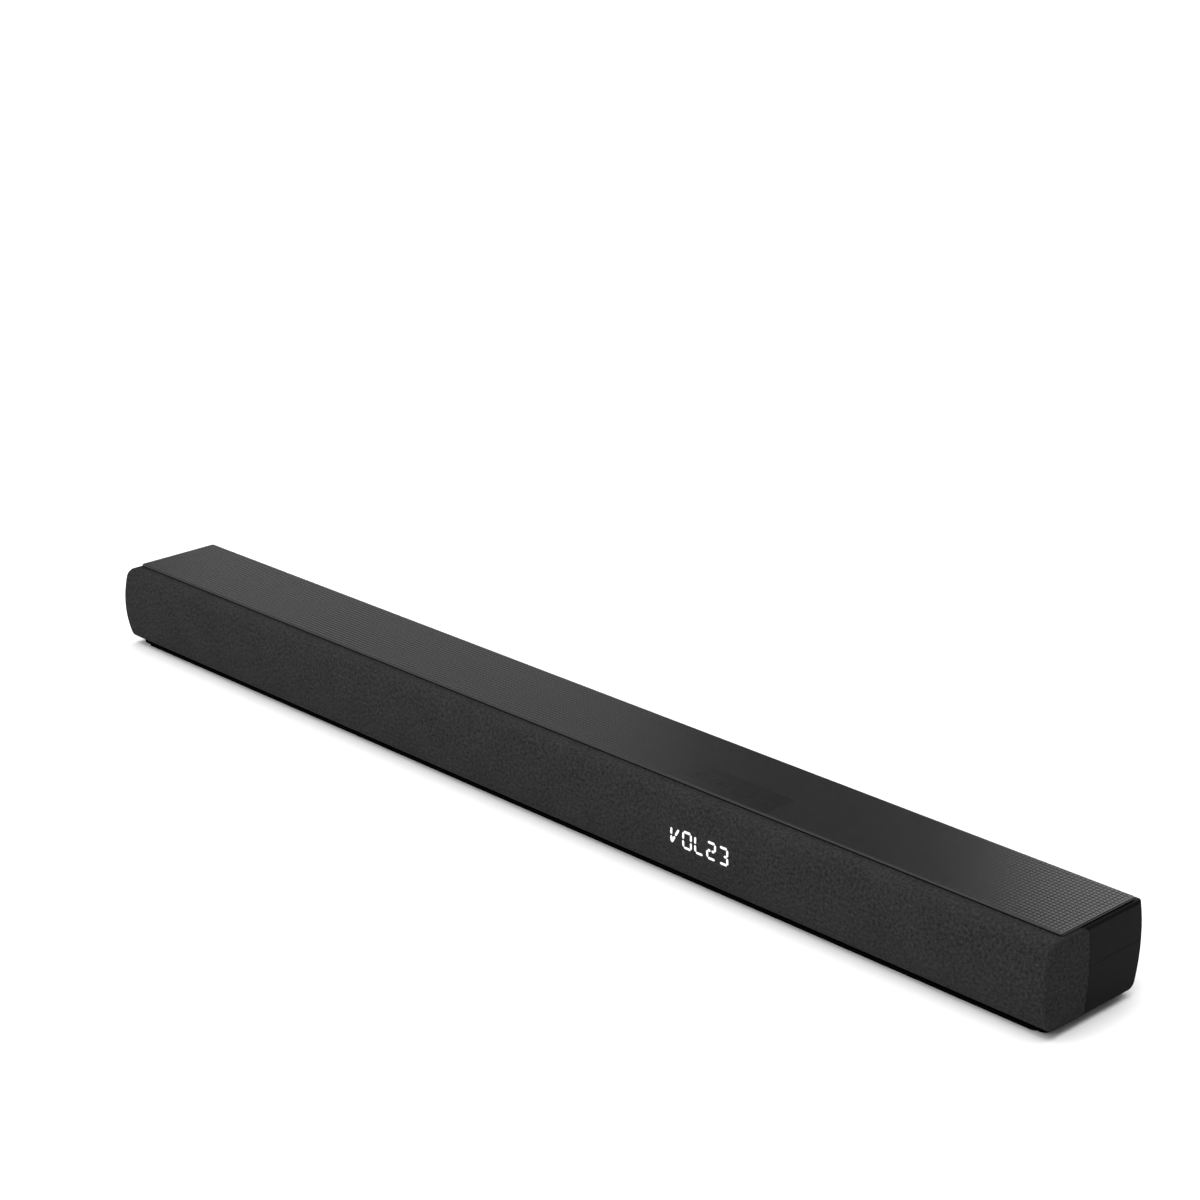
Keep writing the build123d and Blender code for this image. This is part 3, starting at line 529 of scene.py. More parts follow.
# ---------------------------------------------------------------- modelling helpers
class Bench:
    """The few modelling moves that the sub-assemblies share."""

    @staticmethod
    def clear() -> None:
        """Deselect everything, with no object in edit mode."""
        if bpy.context.mode != "OBJECT":
            bpy.ops.object.mode_set(mode="OBJECT")
        bpy.ops.object.select_all(action="DESELECT")

    @classmethod
    def take(cls, piece: bpy.types.Object) -> None:
        """Make one piece the only one selected, and active."""
        cls.clear()
        piece.select_set(True)
        bpy.context.view_layer.objects.active = piece

    @classmethod
    def added(cls, name: str) -> bpy.types.Object:
        """Name the primitive just added and put its place into its mesh.

        Args:
            name: the piece's name.

        Returns:
            The piece.
        """
        piece = bpy.context.active_object
        piece.name = piece.data.name = name
        cls.take(piece)
        bpy.ops.object.transform_apply(location=True, rotation=True, scale=True)
        return piece

    @classmethod
    def block(cls, name: str, centre: Triple, size: Triple, turn: float = 0.0) -> bpy.types.Object:
        """Add a plain block.

        Args:
            name: the piece's name.
            centre: its middle, in millimetres.
            size: its three sides, in millimetres.
            turn: how far it is turned about the vertical, in degrees.

        Returns:
            The piece.
        """
        cls.clear()
        bpy.ops.mesh.primitive_cube_add(size=1, location=[c * MM for c in centre],
                                        rotation=(0, 0, math.radians(turn)), scale=[s * MM for s in size])
        return cls.added(name)

    @classmethod
    def slab(cls, name: str, centre: Triple, length: float, width: float, cells: tuple[int, int]
             ) -> bpy.types.Object:
        """Add a level sheet of square cells.

        Args:
            name: the piece's name.
            centre: its middle, in millimetres.
            length: its size along the bar, in millimetres.
            width: its size across the bar, in millimetres.
            cells: how many cells it has each way.

        Returns:
            The piece.
        """
        cls.clear()
        bpy.ops.mesh.primitive_grid_add(x_subdivisions=cells[0], y_subdivisions=cells[1], size=1,
                                        location=[c * MM for c in centre])
        bpy.ops.transform.resize(value=(length * MM, width * MM, 1))
        return cls.added(name)

    @classmethod
    def modify(cls, piece: bpy.types.Object, kind: str, **settings: Any) -> None:
        """Add a modifier and apply it.

        Args:
            piece: the piece.
            kind: the modifier's type.
            settings: its settings.
        """
        cls.take(piece)
        modifier = piece.modifiers.new(kind.lower(), kind)
        for name, value in settings.items():
            setattr(modifier, name, value)
        bpy.ops.object.modifier_apply(modifier=modifier.name)

    @classmethod
    def edit(cls, piece: bpy.types.Object, chosen: str = "NONE") -> None:
        """Open a piece in edit mode.

        Args:
            piece: the piece.
            chosen: "NONE", or "ALL" to start with everything selected.
        """
        cls.take(piece)
        bpy.ops.object.mode_set(mode="EDIT")
        bpy.ops.mesh.select_mode(type="FACE")
        bpy.ops.mesh.select_all(action="SELECT" if chosen == "ALL" else "DESELECT")

    @staticmethod
    def pick_faces(piece: bpy.types.Object, wanted: Callable[[bmesh.types.BMFace], bool]) -> None:
        """Select the faces of the piece in edit mode that pass a test.

        Args:
            piece: the piece, in edit mode.
            wanted: says of a face whether to select it.
        """
        mesh = bmesh.from_edit_mesh(piece.data)
        for face in mesh.faces:
            face.select_set(bool(wanted(face)))
        mesh.select_flush_mode()
        bmesh.update_edit_mesh(piece.data)

    @staticmethod
    def pick_edges(piece: bpy.types.Object, wanted: Callable[[bmesh.types.BMEdge], bool]) -> None:
        """Select the edges of the piece in edit mode that pass a test.

        Args:
            piece: the piece, in edit mode, with nothing selected.
            wanted: says of an edge whether to select it.
        """
        bpy.ops.mesh.select_mode(type="EDGE")
        mesh = bmesh.from_edit_mesh(piece.data)
        for edge in mesh.edges:
            edge.select_set(bool(wanted(edge)))
        bmesh.update_edit_mesh(piece.data)

    @classmethod
    def join(cls, name: str, pieces: Iterable[bpy.types.Object]) -> bpy.types.Object:
        """Join pieces into one.

        Args:
            name: the joined piece's name.
            pieces: the pieces.

        Returns:
            The joined piece.
        """
        first, *others = pieces
        cls.take(first)
        for piece in others:
            piece.select_set(True)
        if others:
            bpy.ops.object.join()
        joined = bpy.context.active_object
        joined.name = joined.data.name = name
        return joined

    @classmethod
    def copy_of(cls, node: bpy.types.Object, name: str) -> bpy.types.Object:
        """Copy a CAD node's shape into a free piece, with its loose triangles merged.

        Args:
            node: the CAD node.
            name: the piece's name.

        Returns:
            The piece.
        """
        cls.clear()
        piece = node.copy()
        piece.data = node.data.copy()
        piece.parent = None
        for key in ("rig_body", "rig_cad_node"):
            if key in piece:
                del piece[key]
        bpy.context.scene.collection.objects.link(piece)
        piece.name = piece.data.name = name
        cls.edit(piece, "ALL")
        bpy.ops.mesh.remove_doubles(threshold=SAME_PLACE * MM)
        bpy.ops.object.mode_set(mode="OBJECT")
        return piece

    @classmethod
    def smooth(cls, piece: bpy.types.Object, degrees: float = 40) -> None:
        """Shade smooth across edges flatter than an angle."""
        cls.take(piece)
        bpy.ops.object.shade_smooth_by_angle(angle=math.radians(degrees))

    @classmethod
    def outward(cls, piece: bpy.types.Object) -> None:
        """Point all faces outwards."""
        cls.edit(piece, "ALL")
        bpy.ops.mesh.normals_make_consistent(inside=False)
        bpy.ops.object.mode_set(mode="OBJECT")


def settle(piece: bpy.types.Object, body: str, finish: Finish) -> bpy.types.Object:
    """Dress a new piece and let it ride on a body.

    Args:
        piece: the finished piece.
        body: the CAD body it moves with.
        finish: its finish.

    Returns:
        The piece.
    """
    finish.dress(piece)
    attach(piece, body)
    LOG.info("%s rides on %s: %d faces", piece.name, body, len(piece.data.polygons))
    return piece


# ---------------------------------------------------------------- the bar's outline
@dataclass(frozen=True)
class Corner:
    """A rounded corner between a level line and the front arc."""

    centre: Point
    radius: float
    on_line: Point
    on_arc: Point


@dataclass
class Outline:
    """The cloth's section outline, from over the bar, down the bulging front, to under it (millimetres)."""

    floor: Point = (-41.0, 5.2)
    belly: Point = (-47.5, 36.0)
    roof: Point = (-42.4, 64.5)
    roof_round: float = 8.0
    floor_round: float = 7.0
    strip_steps: int = 5
    lip_steps: int = 3
    roof_steps: int = 8
    arc_steps: int = 24
    floor_steps: int = 7
    centre: Point = field(init=False)
    radius: float = field(init=False)

    def __post_init__(self) -> None:
        """Find the front arc's circle from its three points."""
        (ax, ay), (bx, by), (cx, cy) = self.floor, self.belly, self.roof
        twice = 2 * (ax * (by - cy) + bx * (cy - ay) + cx * (ay - by))
        a2, b2, c2 = ax * ax + ay * ay, bx * bx + by * by, cx * cx + cy * cy
        self.centre = ((a2 * (by - cy) + b2 * (cy - ay) + c2 * (ay - by)) / twice,
                       (a2 * (cx - bx) + b2 * (ax - cx) + c2 * (bx - ax)) / twice)
        self.radius = math.dist(self.centre, self.belly)

    def front_y(self, z: float) -> float:
        """Depth of the front arc at a height."""
        return self.centre[0] - math.sqrt(self.radius ** 2 - (z - self.centre[1]) ** 2)

    def corner(self, level: float, radius: float, upwards: bool) -> Corner:
        """The rounding where the arc meets a level line.

        Args:
            level: the line's height.
            radius: the rounding's radius.
            upwards: whether the line is the lower one, so that the rounding lies above it.

        Returns:
            The corner.
        """
        z = level + radius if upwards else level - radius
        reach = self.radius - radius
        y = self.centre[0] - math.sqrt(reach ** 2 - (z - self.centre[1]) ** 2)
        scale = self.radius / reach
        touch = (self.centre[0] + (y - self.centre[0]) * scale, self.centre[1] + (z - self.centre[1]) * scale)
        return Corner((y, z), radius, (y, level), touch)

    def points(self, top_back: float, lip: float, sole: float, floor_back: float) -> list[Point]:
        """Points down the outline.

        Args:
            top_back: how far back the roof strip starts.
            lip: a depth on the roof that must be one of the points.
            sole: a depth on the floor that must be one of the points.
            floor_back: how far back the floor strip ends.

        Returns:
            (y, z) points from the roof's back, round the front, to the floor's back.
        """
        top = self.corner(self.roof[1], self.roof_round, False)
        low = self.corner(self.floor[1], self.floor_round, True)
        made = self._strip(top_back, lip, top.on_line[1], self.strip_steps)
        made += self._strip(lip, top.on_line[0], top.on_line[1], self.lip_steps)
        made += self._round(top, top.on_line, top.on_arc, self.roof_steps)
        start = math.atan2(top.on_arc[1] - self.centre[1], top.on_arc[0] - self.centre[0])
        end = math.atan2(low.on_arc[1] - self.centre[1], low.on_arc[0] - self.centre[0])
        end += 2 * math.pi if end < start else 0
        for i in range(self.arc_steps):
            angle = start + (end - start) * i / self.arc_steps
            made.append((self.centre[0] + self.radius * math.cos(angle),
                         self.centre[1] + self.radius * math.sin(angle)))
        made += self._round(low, low.on_arc, low.on_line, self.floor_steps)
        made += self._strip(low.on_line[0], sole, low.on_line[1], self.lip_steps)
        made += self._strip(sole, floor_back, low.on_line[1], self.strip_steps)
        return [*made, (floor_back, low.on_line[1])]

    @staticmethod
    def _strip(start: float, end: float, level: float, steps: int) -> list[Point]:
        """Points along a level strip, leaving out the last."""
        return [(start + (end - start) * i / steps, level) for i in range(steps)]

    @staticmethod
    def _round(corner: Corner, start: Point, end: Point, steps: int
               ) -> list[Point]:
        """Points round a corner, leaving out the last."""
        (y, z), radius = corner.centre, corner.radius
        first, last = (math.atan2(p[1] - z, p[0] - y) for p in (start, end))
        while last < first:
            last += 2 * math.pi
        return [(y + radius * math.cos(first + (last - first) * i / steps),
                 z + radius * math.sin(first + (last - first) * i / steps)) for i in range(steps)]


# ---------------------------------------------------------------- cloth
@dataclass
class GrilleCloth:
    """The cloth stretched over the front, with lips above and below and wrapped ends (millimetres)."""

    outline: Outline = field(default_factory=Outline)
    half_length: float = 475.0
    edge_round: float = 2.5
    lip: float = -29.0
    sole: float = -30.5
    lip_half_length: float = 466.0
    seam_points: tuple[Point, ...] = ((-9.8, 0.0), (-5.7, 34.0), (-7.6, 64.6))
    seam_round: float = 6.5
    thickness: float = 0.7
    round_steps: int = 6
    end_steps: int = 10
    lip_columns: int = 60

    def seam_y(self, z: float) -> float:
        """How far back the cloth reaches on an end at a height.

        Args:
            z: the height.

        Returns:
            The seam's depth there.
        """
        seam = Outline(*self.seam_points)
        centre_y, reach = seam.centre[0], seam.radius
        bulge = centre_y + math.copysign(math.sqrt(reach ** 2 - (z - seam.centre[1]) ** 2), -centre_y)
        top = self.seam_points[2][1]
        knee = top - self.seam_round
        if z <= knee:
            return bulge
        side = centre_y + math.copysign(
            math.sqrt((reach - self.seam_round) ** 2 - (knee - seam.centre[1]) ** 2), -centre_y)
        return side + math.sqrt(max(self.seam_round ** 2 - (z - knee) ** 2, 0.0))

    def build(self) -> bpy.types.Object:
        """Make the cloth's mesh with its thread map.

        Returns:
            The cloth, as a surface without thickness.
        """
        roof, floor = self.outline.roof[1], self.outline.floor[1]
        rows = self.outline.points(self.seam_y(roof), self.lip, self.sole, self.seam_y(floor))
        count = len(rows)
        run = [0.0]
        for a, b in zip(rows, rows[1:]):
            run.append(run[-1] + math.dist(a, b))
        foot_y, belly_z = self.outline.floor[0], self.outline.belly[1]
        front = [i for i in range(count) if rows[i][0] < foot_y]
        middle = min(front, key=lambda i: abs(rows[i][1] - belly_z))
        run = [r - run[middle] + (roof - rows[middle][1]) for r in run]
        normals = []
        for i in range(count):
            a, b = rows[max(i - 1, 0)], rows[min(i + 1, count - 1)]
            length = math.dist(a, b)
            normals.append((-(a[1] - b[1]) / length, (a[0] - b[0]) / length))
        columns = self._columns(rows, run, normals)
        mesh = bmesh.new()
        grid = [[mesh.verts.new([c * MM for c in place]) for place, _ in column] for column in columns]
        maps = {grid[j][i]: columns[j][i][1] for j in range(len(columns)) for i in range(count)}
        uv = mesh.loops.layers.uv.new("threads")
        for j in range(len(columns) - 1):
            for i in range(count - 1):
                inner = all(abs(columns[k][i][0][0]) <= self.lip_half_length + SLACK for k in (j, j + 1))
                if inner and self._cut_away(rows[i], rows[i + 1]):
                    continue
                corners = []
                for vertex in (grid[j][i], grid[j][i + 1], grid[j + 1][i + 1], grid[j + 1][i]):
                    if vertex not in corners:
                        corners.append(vertex)
                face = mesh.faces.new(corners)
                for loop in face.loops:
                    loop[uv].uv = [c * MM for c in maps[loop.vert]]
        bmesh.ops.remove_doubles(mesh, verts=mesh.verts, dist=0.00001)
        bmesh.ops.delete(mesh, geom=[v for v in mesh.verts if not v.link_faces], context="VERTS")
        data = bpy.data.meshes.new("front_cloth")
        mesh.to_mesh(data)
        mesh.free()
        cloth = bpy.data.objects.new("front_cloth", data)
        bpy.context.scene.collection.objects.link(cloth)
        Bench.outward(cloth)
        return cloth

    def _cut_away(self, upper: Point, lower: Point) -> bool:
        """Whether the stretch between two rows lies behind the lip on the roof or the sole on the floor."""
        roof, floor = self.outline.roof[1] - SLACK, self.outline.floor[1] + SLACK
        behind_lip = upper[1] > roof and lower[1] > roof and upper[0] > self.lip + SLACK
        behind_sole = upper[1] < floor and lower[1] < floor and lower[0] > self.sole + SLACK
        return behind_lip or behind_sole

    def _columns(self, rows: list[Point], run: list[float], normals: list[Point]) -> list:
        """Columns of the cloth from the left seam, round the front, to the right seam.

        Args:
            rows: the outline's points.
            run: the distance along the outline of each.
            normals: the outward direction of each.

        Returns:
            For each column, a list of (place, thread map) pairs, in millimetres.
        """
        roof, belly_y = self.outline.roof[1], self.outline.belly[0]
        flat = self.half_length - self.edge_round
        arc = self.edge_round * math.pi / 2
        right = []
        for step in range(1, self.round_steps + 1):
            turn = math.pi / 2 * step / self.round_steps
            drop = self.edge_round * (1 - math.cos(turn))
            x = flat + self.edge_round * math.sin(turn)
            column = []
            for i, (y, z) in enumerate(rows):
                place = [x, y - normals[i][0] * drop, z - normals[i][1] * drop]
                if i in (0, len(rows) - 1):
                    place[1] = self.seam_y(place[2])
                share = step / self.round_steps
                level = (1 - share) * run[i] + share * (roof - place[2])
                along = flat + arc * share + share * (place[1] - belly_y)
                column.append((tuple(place), (along, level)))
            right.append(column)
        edge = [place for place, _ in right[-1]]
        top_z, low_z = edge[0][2], edge[-1][2]
        for step in range(1, self.end_steps + 1):
            share = step / self.end_steps
            column = []
            for i, (x, y, z) in enumerate(edge):
                portion = i / (len(edge) - 1)
                seam_z = top_z + (low_z - top_z) * portion
                blended_z = z + (seam_z - z) * share
                seam = self.seam_y(seam_z)
                blended_y = y + (seam - y) * share
                column.append(((x, blended_y, blended_z),
                               (flat + arc + blended_y - belly_y, roof - blended_z)))
            right.append(column)
        lip, count = self.lip_half_length, self.lip_columns
        spans = [-flat, *[-lip + k * 2 * lip / count for k in range(count + 1)], flat]
        plain = [[((x, y, z), (x, run[i])) for i, (y, z) in enumerate(rows)] for x in spans]
        left = [[((-x, y, z), (-u, v)) for (x, y, z), (u, v) in column] for column in reversed(right)]
        return [*left, *plain, *right]

    def dress(self, cloth: bpy.types.Object) -> bpy.types.Object:
        """Args:
            cloth: the single-sided cloth.

        Returns:
            The finished cloth.
        """
        Bench.modify(cloth, "SOLIDIFY", thickness=self.thickness * MM, offset=-1.0)
        Bench.smooth(cloth, 50)
        settle(cloth, "bar", CLOTH)
        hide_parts("grille_cloth")
        return cloth


@dataclass
class ClothFrame:
    """The lattice frame under the cloth, its upper front edge eased to follow the cloth (millimetres)."""

    outline: Outline = field(default_factory=Outline)
    gap: float = 0.95

    def build(self, frame: bpy.types.Object) -> bpy.types.Object:
        """Draw the frame's corner in behind the cloth's rounding.

        Args:
            frame: the lattice frame as packed.

        Returns:
            The eased frame.
        """
        eased = Bench.copy_of(frame, "cloth_frame")
        top = self.outline.corner(self.outline.roof[1], self.outline.roof_round, False)
        (centre_y, centre_z), reach = top.centre, top.radius - self.gap
        for vertex in eased.data.vertices:
            across, up = vertex.co.y / MM - centre_y, vertex.co.z / MM - centre_z
            length = math.hypot(across, up)
            if across < 0 < up and length > reach:
                vertex.co.y = (centre_y + across * reach / length) * MM
                vertex.co.z = (centre_z + up * reach / length) * MM
        return eased

    def dress(self, eased: bpy.types.Object) -> bpy.types.Object:
        """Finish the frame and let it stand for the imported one."""
        settle(eased, "bar", INNER)
        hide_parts("grille_frame")
        return eased


# ---------------------------------------------------------------- cover plate
@dataclass
class WaffleGrain:
    """Thousands of shallow raised squares on the cover plate, left out round the keys (millimetres)."""

    columns: int = 304
    rows: int = 22
    length: float = 941.2
    width: float = 69.4
    centre_y: float = 6.0
    plate_top: float = 66.5
    sunk: float = 0.05
    groove: float = 0.42
    rise: float = 0.2
    plain_x: Point = (143.0, 233.5)
    plain_y: Point = (-40.0, -1.0)

    def _plain(self, face: bmesh.types.BMFace) -> bool:
        """Whether a cell lies in the smooth patch round the keys."""
        x, y, _ = face.calc_center_median() / MM
        return self.plain_x[0] < x < self.plain_x[1] and self.plain_y[0] < y < self.plain_y[1]

    def build(self) -> bpy.types.Object:
        """Make the relief: a thin slab of cells whose tops are inset and raised.

        Returns:
            The relief.
        """
        grain = Bench.slab("waffle_grain", (0, self.centre_y, self.plate_top - self.sunk), self.length,
                           self.width, (self.columns, self.rows))
        Bench.edit(grain)
        Bench.pick_faces(grain, self._plain)
        bpy.ops.mesh.delete(type="FACE")
        bpy.ops.mesh.select_all(action="SELECT")
        bpy.ops.mesh.extrude_region_move(TRANSFORM_OT_translate={"value": (0, 0, self.sunk * MM)})
        bpy.ops.mesh.select_all(action="SELECT")
        bpy.ops.mesh.normals_make_consistent(inside=False)
        level = (self.plate_top - self.sunk / 2) * MM
        Bench.pick_faces(grain, lambda f: f.normal.z > FACING and f.calc_center_median().z > level)
        bpy.ops.mesh.inset(thickness=self.groove * MM, depth=self.rise * MM, use_individual=True,
                           use_even_offset=True)
        bpy.ops.object.mode_set(mode="OBJECT")
        return grain

    def dress(self, grain: bpy.types.Object) -> bpy.types.Object:
        """Finish the relief like the plate it stands on."""
        return settle(grain, "bar", GRAIN)


@dataclass
class Rim:
    """A rounded rectangular frame whose outer upper edge is bevelled (millimetres)."""

    name: str
    length: float
    width: float
    centre_y: float
    bottom: float
    top: float
    corner: float
    wall: float
    bevel: float
    finish: Finish

    def _outer(self, vertex: bmesh.types.BMVert) -> bool:
        """Whether a vertex is on the frame's outer side."""
        past_x = max(abs(vertex.co.x / MM) - (self.length / 2 - self.corner), 0.0)
        past_y = max(abs(vertex.co.y / MM - self.centre_y) - (self.width / 2 - self.corner), 0.0)
        return math.hypot(past_x, past_y) > self.corner - self.wall / 2

    def build(self) -> bpy.types.Object:
        """Make the frame: a rounded plate with its middle out, raised and bevelled.

        Returns:
            The frame.
        """
        rim = Bench.slab(self.name, (0, self.centre_y, self.bottom), self.length, self.width, (1, 1))
        Bench.edit(rim, "ALL")
        bpy.ops.mesh.select_mode(type="VERT")
        bpy.ops.mesh.bevel(offset=self.corner * MM, segments=5, affect="VERTICES")
        bpy.ops.mesh.select_mode(type="FACE")
        bpy.ops.mesh.select_all(action="SELECT")
        bpy.ops.mesh.inset(thickness=self.wall * MM)
        Bench.pick_faces(rim, lambda f: len(f.verts) > 4)
        bpy.ops.mesh.delete(type="FACE")
        bpy.ops.mesh.select_all(action="SELECT")
        height = (self.top - self.bottom) * MM
        bpy.ops.mesh.extrude_region_move(TRANSFORM_OT_translate={"value": (0, 0, height)})
        bpy.ops.mesh.select_all(action="SELECT")
        bpy.ops.mesh.normals_make_consistent(inside=False)
        bpy.ops.mesh.select_all(action="DESELECT")
        level = (self.bottom + self.top) / 2 * MM
        Bench.pick_edges(rim, lambda e: all(self._outer(v) and v.co.z > level for v in e.verts))
        bpy.ops.mesh.bevel(offset=self.bevel * MM, segments=3, affect="EDGES")
        bpy.ops.object.mode_set(mode="OBJECT")
        Bench.smooth(rim, 35)
        return settle(rim, "bar", self.finish)


RIMS = (
    # The cover rim wears the lighter copy of the cover plastic, a painted highlight on its bevel.
    Rim("cover_rim", length=944.3, width=72.3, centre_y=6.0, bottom=65.4, top=66.65, corner=2.1, wall=1.4,
        bevel=1.0, finish=RIM_PAINTED_HIGHLIGHT),
    # A near-black rubber skirt reaching down to the floor under the base: a dark sheet that paints the shade
    # in the gap between the base and the floor.
    Rim("base_shade_skirt", length=922.0, width=78.6, centre_y=3.1, bottom=0.04, top=2.2, corner=4.0, wall=1.6,
        bevel=0.4, finish=RUBBER),
)


# ---------------------------------------------------------------- key marks
class Mark(Enum):
    """What is printed on each key, by the key's name."""

    POWER = "power"
    SOURCE = "source"
    MINUS = "minus"
    PLUS = "plus"


@dataclass
class KeyMarks:
    """Small dark marks printed on the four keys (millimetres)."""

    first_x: float = 156.0
    pitch: float = 21.6
    y: float = -15.3
    top: float = 66.5
    ring: float = 2.7
    stroke: float = 0.75
    roundness: float = 0.42
    film: float = 0.04
    arm: float = 4.8
    power_gap: float = 24.0
    stem: float = 2.6
    stem_rise: float = 1.9
    source_gap: float = 38.0
    shaft: float = 4.2
    shaft_shift: float = -1.6
    barb: float = 2.0
    barb_turn: float = 42.0
    barb_shift: Point = (-0.3, 0.65)

    def _bar(self, name: str, x: float, y: float, length: float, turn: float = 0.0) -> bpy.types.Object:
        """One printed stroke with rounded ends.

        Args:
            name: the stroke's name.
            x: its middle.
            y: its middle.
            length: its length.
            turn: how far it is turned from the bar's length, in degrees.

        Returns:
            The stroke.
        """
        stroke = Bench.block(name, (x, y, self.top), (length, self.stroke, 2 * self.film), turn)
        Bench.edit(stroke)
        Bench.pick_edges(stroke, lambda e: abs((e.verts[0].co - e.verts[1].co).normalized().z) > FACING)
        bpy.ops.mesh.bevel(offset=self.stroke * self.roundness * MM, segments=4, affect="EDGES")
        bpy.ops.object.mode_set(mode="OBJECT")
        return stroke

    def _ring(self, name: str, x: float, y: float, gap: float, facing: float) -> bpy.types.Object:
        """A printed ring with a gap.

        Args:
            name: the ring's name.
            x: its middle.
            y: its middle.
            gap: the gap's half angle, in degrees.
            facing: where the gap is, in degrees from the bar's length.

        Returns:
            The ring.
        """
        Bench.clear()
        bpy.ops.mesh.primitive_cylinder_add(vertices=72, radius=self.ring * MM, depth=2 * self.film * MM,
                                            location=(x * MM, y * MM, self.top * MM), end_fill_type="NOTHING")
        ring = Bench.added(name)
        Bench.edit(ring)
        way = Vector((math.cos(math.radians(facing)), math.sin(math.radians(facing)), 0))
        middle = Vector((x * MM, y * MM, self.top * MM))
        Bench.pick_faces(ring, lambda f: (f.calc_center_median() - middle).normalized().dot(way)
                         > math.cos(math.radians(gap)))
        bpy.ops.mesh.delete(type="FACE")
        bpy.ops.object.mode_set(mode="OBJECT")
        Bench.modify(ring, "SOLIDIFY", thickness=self.stroke * MM, offset=-1.0)
        return ring

    def build(self, mark: Mark, x: float) -> bpy.types.Object:
        """Make one key's mark.

        Args:
            mark: which mark.
            x: the key's middle.

        Returns:
            The mark.
        """
        y = self.y
        if mark is Mark.POWER:
            strokes = [self._ring("ring", x, y, self.power_gap, 90),
                       self._bar("stem", x, y + self.stem_rise, self.stem, 90)]
        elif mark is Mark.SOURCE:
            strokes = [self._ring("ring", x, y, self.source_gap, 180),
                       self._bar("shaft", x + self.shaft_shift, y, self.shaft)]
            back, out = self.barb_shift
            for side in (1, -1):
                strokes.append(self._bar("barb", x + back, y + side * out, self.barb, -side * self.barb_turn))
        elif mark is Mark.MINUS:
            strokes = [self._bar("dash", x, y, self.arm)]
        else:
            strokes = [self._bar("dash", x, y, self.arm), self._bar("upright", x, y, self.arm, 90)]
        return Bench.join(f"mark_{mark.value}", strokes)

    def build_all(self) -> None:
        """Make all four marks, each riding on its own key."""
        for place, mark in enumerate(Mark):
            piece = self.build(mark, self.first_x + self.pitch * place)
            settle(piece, f"{mark.value}_key", INK)


# ---------------------------------------------------------------- read-out
@dataclass
class ReadOut:
    """The lit volume figures as they show on the cloth's face (millimetres)."""

    outline: Outline = field(default_factory=Outline)
    proud: float = 0.06
    sunk: float = 0.15
    slices: int = 12

    def build(self, digits: bpy.types.Object) -> bpy.types.Object:
        """Lay the lamp's figures on the curved cloth.

        Args:
            digits: the lamp figures behind the cloth.

        Returns:
            The lit figures.
        """
        glow = Bench.copy_of(digits, "read_out_figures")
        Bench.edit(glow, "ALL")
        low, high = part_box("display_digits")
        for k in range(1, self.slices):
            level = low.z + (high.z - low.z) * k / self.slices
            bpy.ops.mesh.select_all(action="SELECT")
            bpy.ops.mesh.bisect(plane_co=(0, 0, level), plane_no=(0, 0, 1))
        bpy.ops.object.mode_set(mode="OBJECT")
        back = (low.y + high.y) / 2
        for vertex in glow.data.vertices:
            face = self.outline.front_y(vertex.co.z / MM)
            vertex.co.y = (face - self.proud if vertex.co.y < back else face + self.sunk) * MM
        return glow

    def dress(self, glow: bpy.types.Object) -> bpy.types.Object:
        """Light the figures."""
        return settle(glow, "bar", READ_OUT)


# ---------------------------------------------------------------- damping wadding
@dataclass
class Wadding:
    """Two blocks of damping wadding in the side chambers (millimetres)."""

    side_x: float = 402.5
    y: float = 22.0
    z: float = 34.0
    size: Triple = (82.0, 31.0, 39.0)
    cuts: int = 5
    lump: float = 12.0
    lump_height: float = 1.6

    def build(self, side: int) -> bpy.types.Object:
        """Make one block: eased, crowned and slightly lumpy.

        Args:
            side: -1 for the left chamber, 1 for the right.

        Returns:
            The block.
        """
        name = "wadding_left" if side < 0 else "wadding_right"
        block = Bench.block(name, (side * self.side_x, self.y, self.z), self.size)
        Bench.edit(block, "ALL")
        bpy.ops.mesh.subdivide(number_cuts=self.cuts)
        bpy.ops.object.mode_set(mode="OBJECT")
        Bench.modify(block, "SUBSURF", levels=2, render_levels=2)
        lumps = bpy.data.textures.new(f"{name}_lumps", "CLOUDS")
        lumps.noise_scale = self.lump * MM
        Bench.modify(block, "DISPLACE", texture=lumps, strength=self.lump_height * MM, mid_level=0.8,
                     texture_coords="LOCAL")
        Bench.smooth(block, 60)
        return block

    def build_all(self) -> None:
        """Make both blocks and let them stand for the solid ones."""
        for side in (-1, 1):
            block = self.build(side)
            settle(block, "bar", FOAM)
            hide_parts("damping_foam")


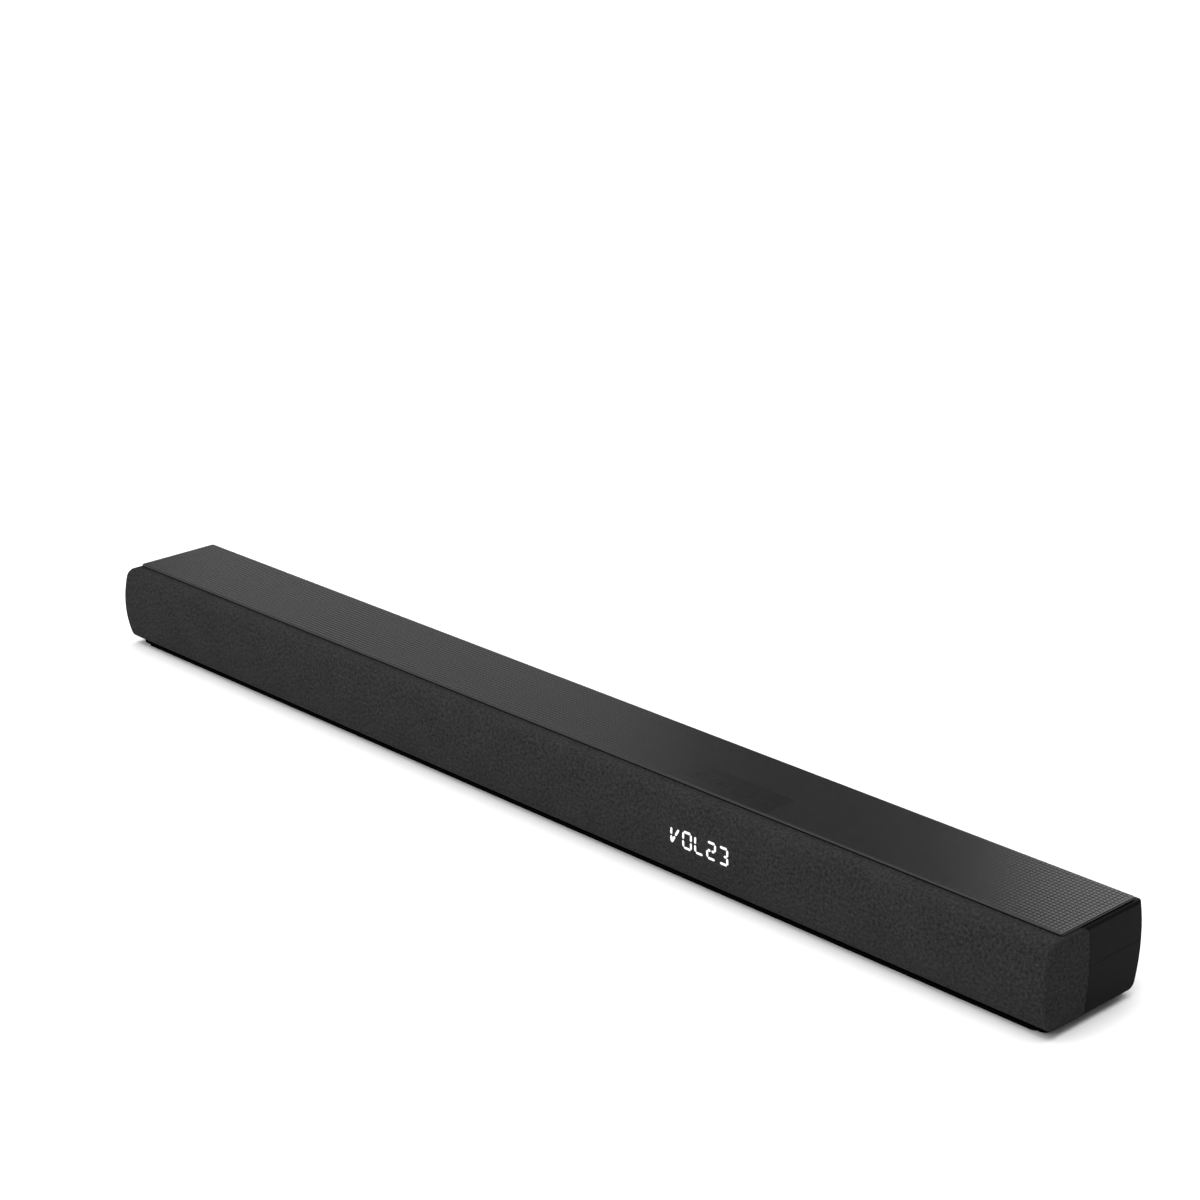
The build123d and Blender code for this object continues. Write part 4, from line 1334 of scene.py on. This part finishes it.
# ---------------------------------------------------------------- studio
@dataclass
class Studio:
    """Pale floor, soft light and the camera."""

    eye: Triple = (1.34297, -1.21367, 0.79844)
    target: Triple = (0.04709, 0.0, 0.15916)
    lens: float = 82.256
    sensor: float = 36.0
    roll: float = -0.0119
    floor_size: float = 60.0
    room_light: float = 0.25

    def floor(self) -> None:
        """A wide pale floor."""
        Bench.clear()
        bpy.ops.mesh.primitive_plane_add(size=self.floor_size, location=(0, 0, 0))
        floor = Bench.added("studio_floor")
        paint = Paint("studio_floor_white")
        cloud = paint.noise(paint.object_place(), 0.4, 3)
        paint.feed(Base_Color=paint.blend(cloud, grey(0.83), grey(0.85)), Roughness=0.9 + cloud * 0.05,
                   Specular_IOR_Level=0.0)
        floor.data.materials.append(paint.material)

    @staticmethod
    def _hang(name: str, data: bpy.types.ID, place: Triple, turn: Quaternion) -> bpy.types.Object:
        """Put a lamp or camera in its place.

        Args:
            name: the object's name.
            data: the lamp's or camera's own data.
            place: where it hangs, in metres.
            turn: the way it faces.

        Returns:
            The object.
        """
        hung = bpy.data.objects.new(name, data)
        bpy.context.scene.collection.objects.link(hung)
        hung.location = place
        hung.rotation_mode = "QUATERNION"
        hung.rotation_quaternion = turn
        return hung

    def sun(self, name: str, place: Triple, power: float, spread: float) -> None:
        """One broad sun that shines from a place towards the bar's middle.

        Args:
            name: the lamp's name.
            place: where it shines from, in metres.
            power: its strength.
            spread: its spread in degrees.
        """
        data = bpy.data.lights.new(name, "SUN")
        data.energy = power
        data.angle = math.radians(spread)
        self._hang(name, data, place, (-Vector(place)).to_track_quat("-Z", "Y"))

    def softbox(self, name: str, place: Triple, size: Point, power: float) -> None:
        """One upright softbox behind the bar, which the cover plate mirrors.

        Args:
            name: the lamp's name.
            place: its middle, in metres.
            size: its width and height, in metres.
            power: its power in watts.
        """
        data = bpy.data.lights.new(name, "AREA")
        data.shape = "RECTANGLE"
        data.size, data.size_y = size
        data.energy = power
        self._hang(name, data, place, Vector((0, -1, 0)).to_track_quat("-Z", "Z"))

    def lights(self) -> None:
        """A dim pale room, a broad key from the front left, a soft top light and two softboxes behind."""
        world = bpy.data.worlds.new("pale_room")
        bpy.context.scene.world = world
        world.use_nodes = True
        background = world.node_tree.nodes["Background"]
        background.inputs["Color"].default_value = (1, 1, 1, 1)
        background.inputs["Strength"].default_value = self.room_light
        self.sun("key", (-0.9, -2.4, 1.5), 2.6, 95)
        self.sun("top_light", (0.0, 0.0, 3.0), 2.9, 60)
        self.softbox("left_softbox", (-2.75, 2.0, 1.25), (1.7, 1.4), 8.0)
        self.softbox("right_softbox", (-0.25, 2.0, 1.25), (1.7, 1.4), 22.5)

    def camera(self) -> None:
        """The camera, high in front of the bar's right end."""
        data = bpy.data.cameras.new("camera")
        data.lens = self.lens
        data.sensor_width = self.sensor
        data.clip_end = 100
        aim = (Vector(self.target) - Vector(self.eye)).to_track_quat("-Z", "Y")
        aim = aim @ Quaternion((0, 0, 1), self.roll)
        bpy.context.scene.camera = self._hang("camera", data, self.eye, aim)

    def build(self) -> None:
        """Set up floor, light and camera."""
        bpy.context.scene.view_settings.view_transform = "Standard"
        self.floor()
        self.lights()
        self.camera()


def main() -> None:
    """Build the bar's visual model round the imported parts."""
    logging.basicConfig(level=logging.INFO, format="%(name)s: %(message)s")
    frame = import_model()
    Studio().build()
    for name, node in frame["nodes"].items():
        CAD_FINISHES[name].dress(node)
    cloth = GrilleCloth()
    cloth.dress(cloth.build())
    lattice = ClothFrame()
    lattice.dress(lattice.build(frame["nodes"]["grille_frame"]))
    grain = WaffleGrain()
    grain.dress(grain.build())
    for rim in RIMS:
        rim.build()
    KeyMarks().build_all()
    read_out = ReadOut()
    read_out.dress(read_out.build(frame["nodes"]["display_digits"]))
    Wadding().build_all()
    Bench.clear()


if __name__ == "__main__":
    main()
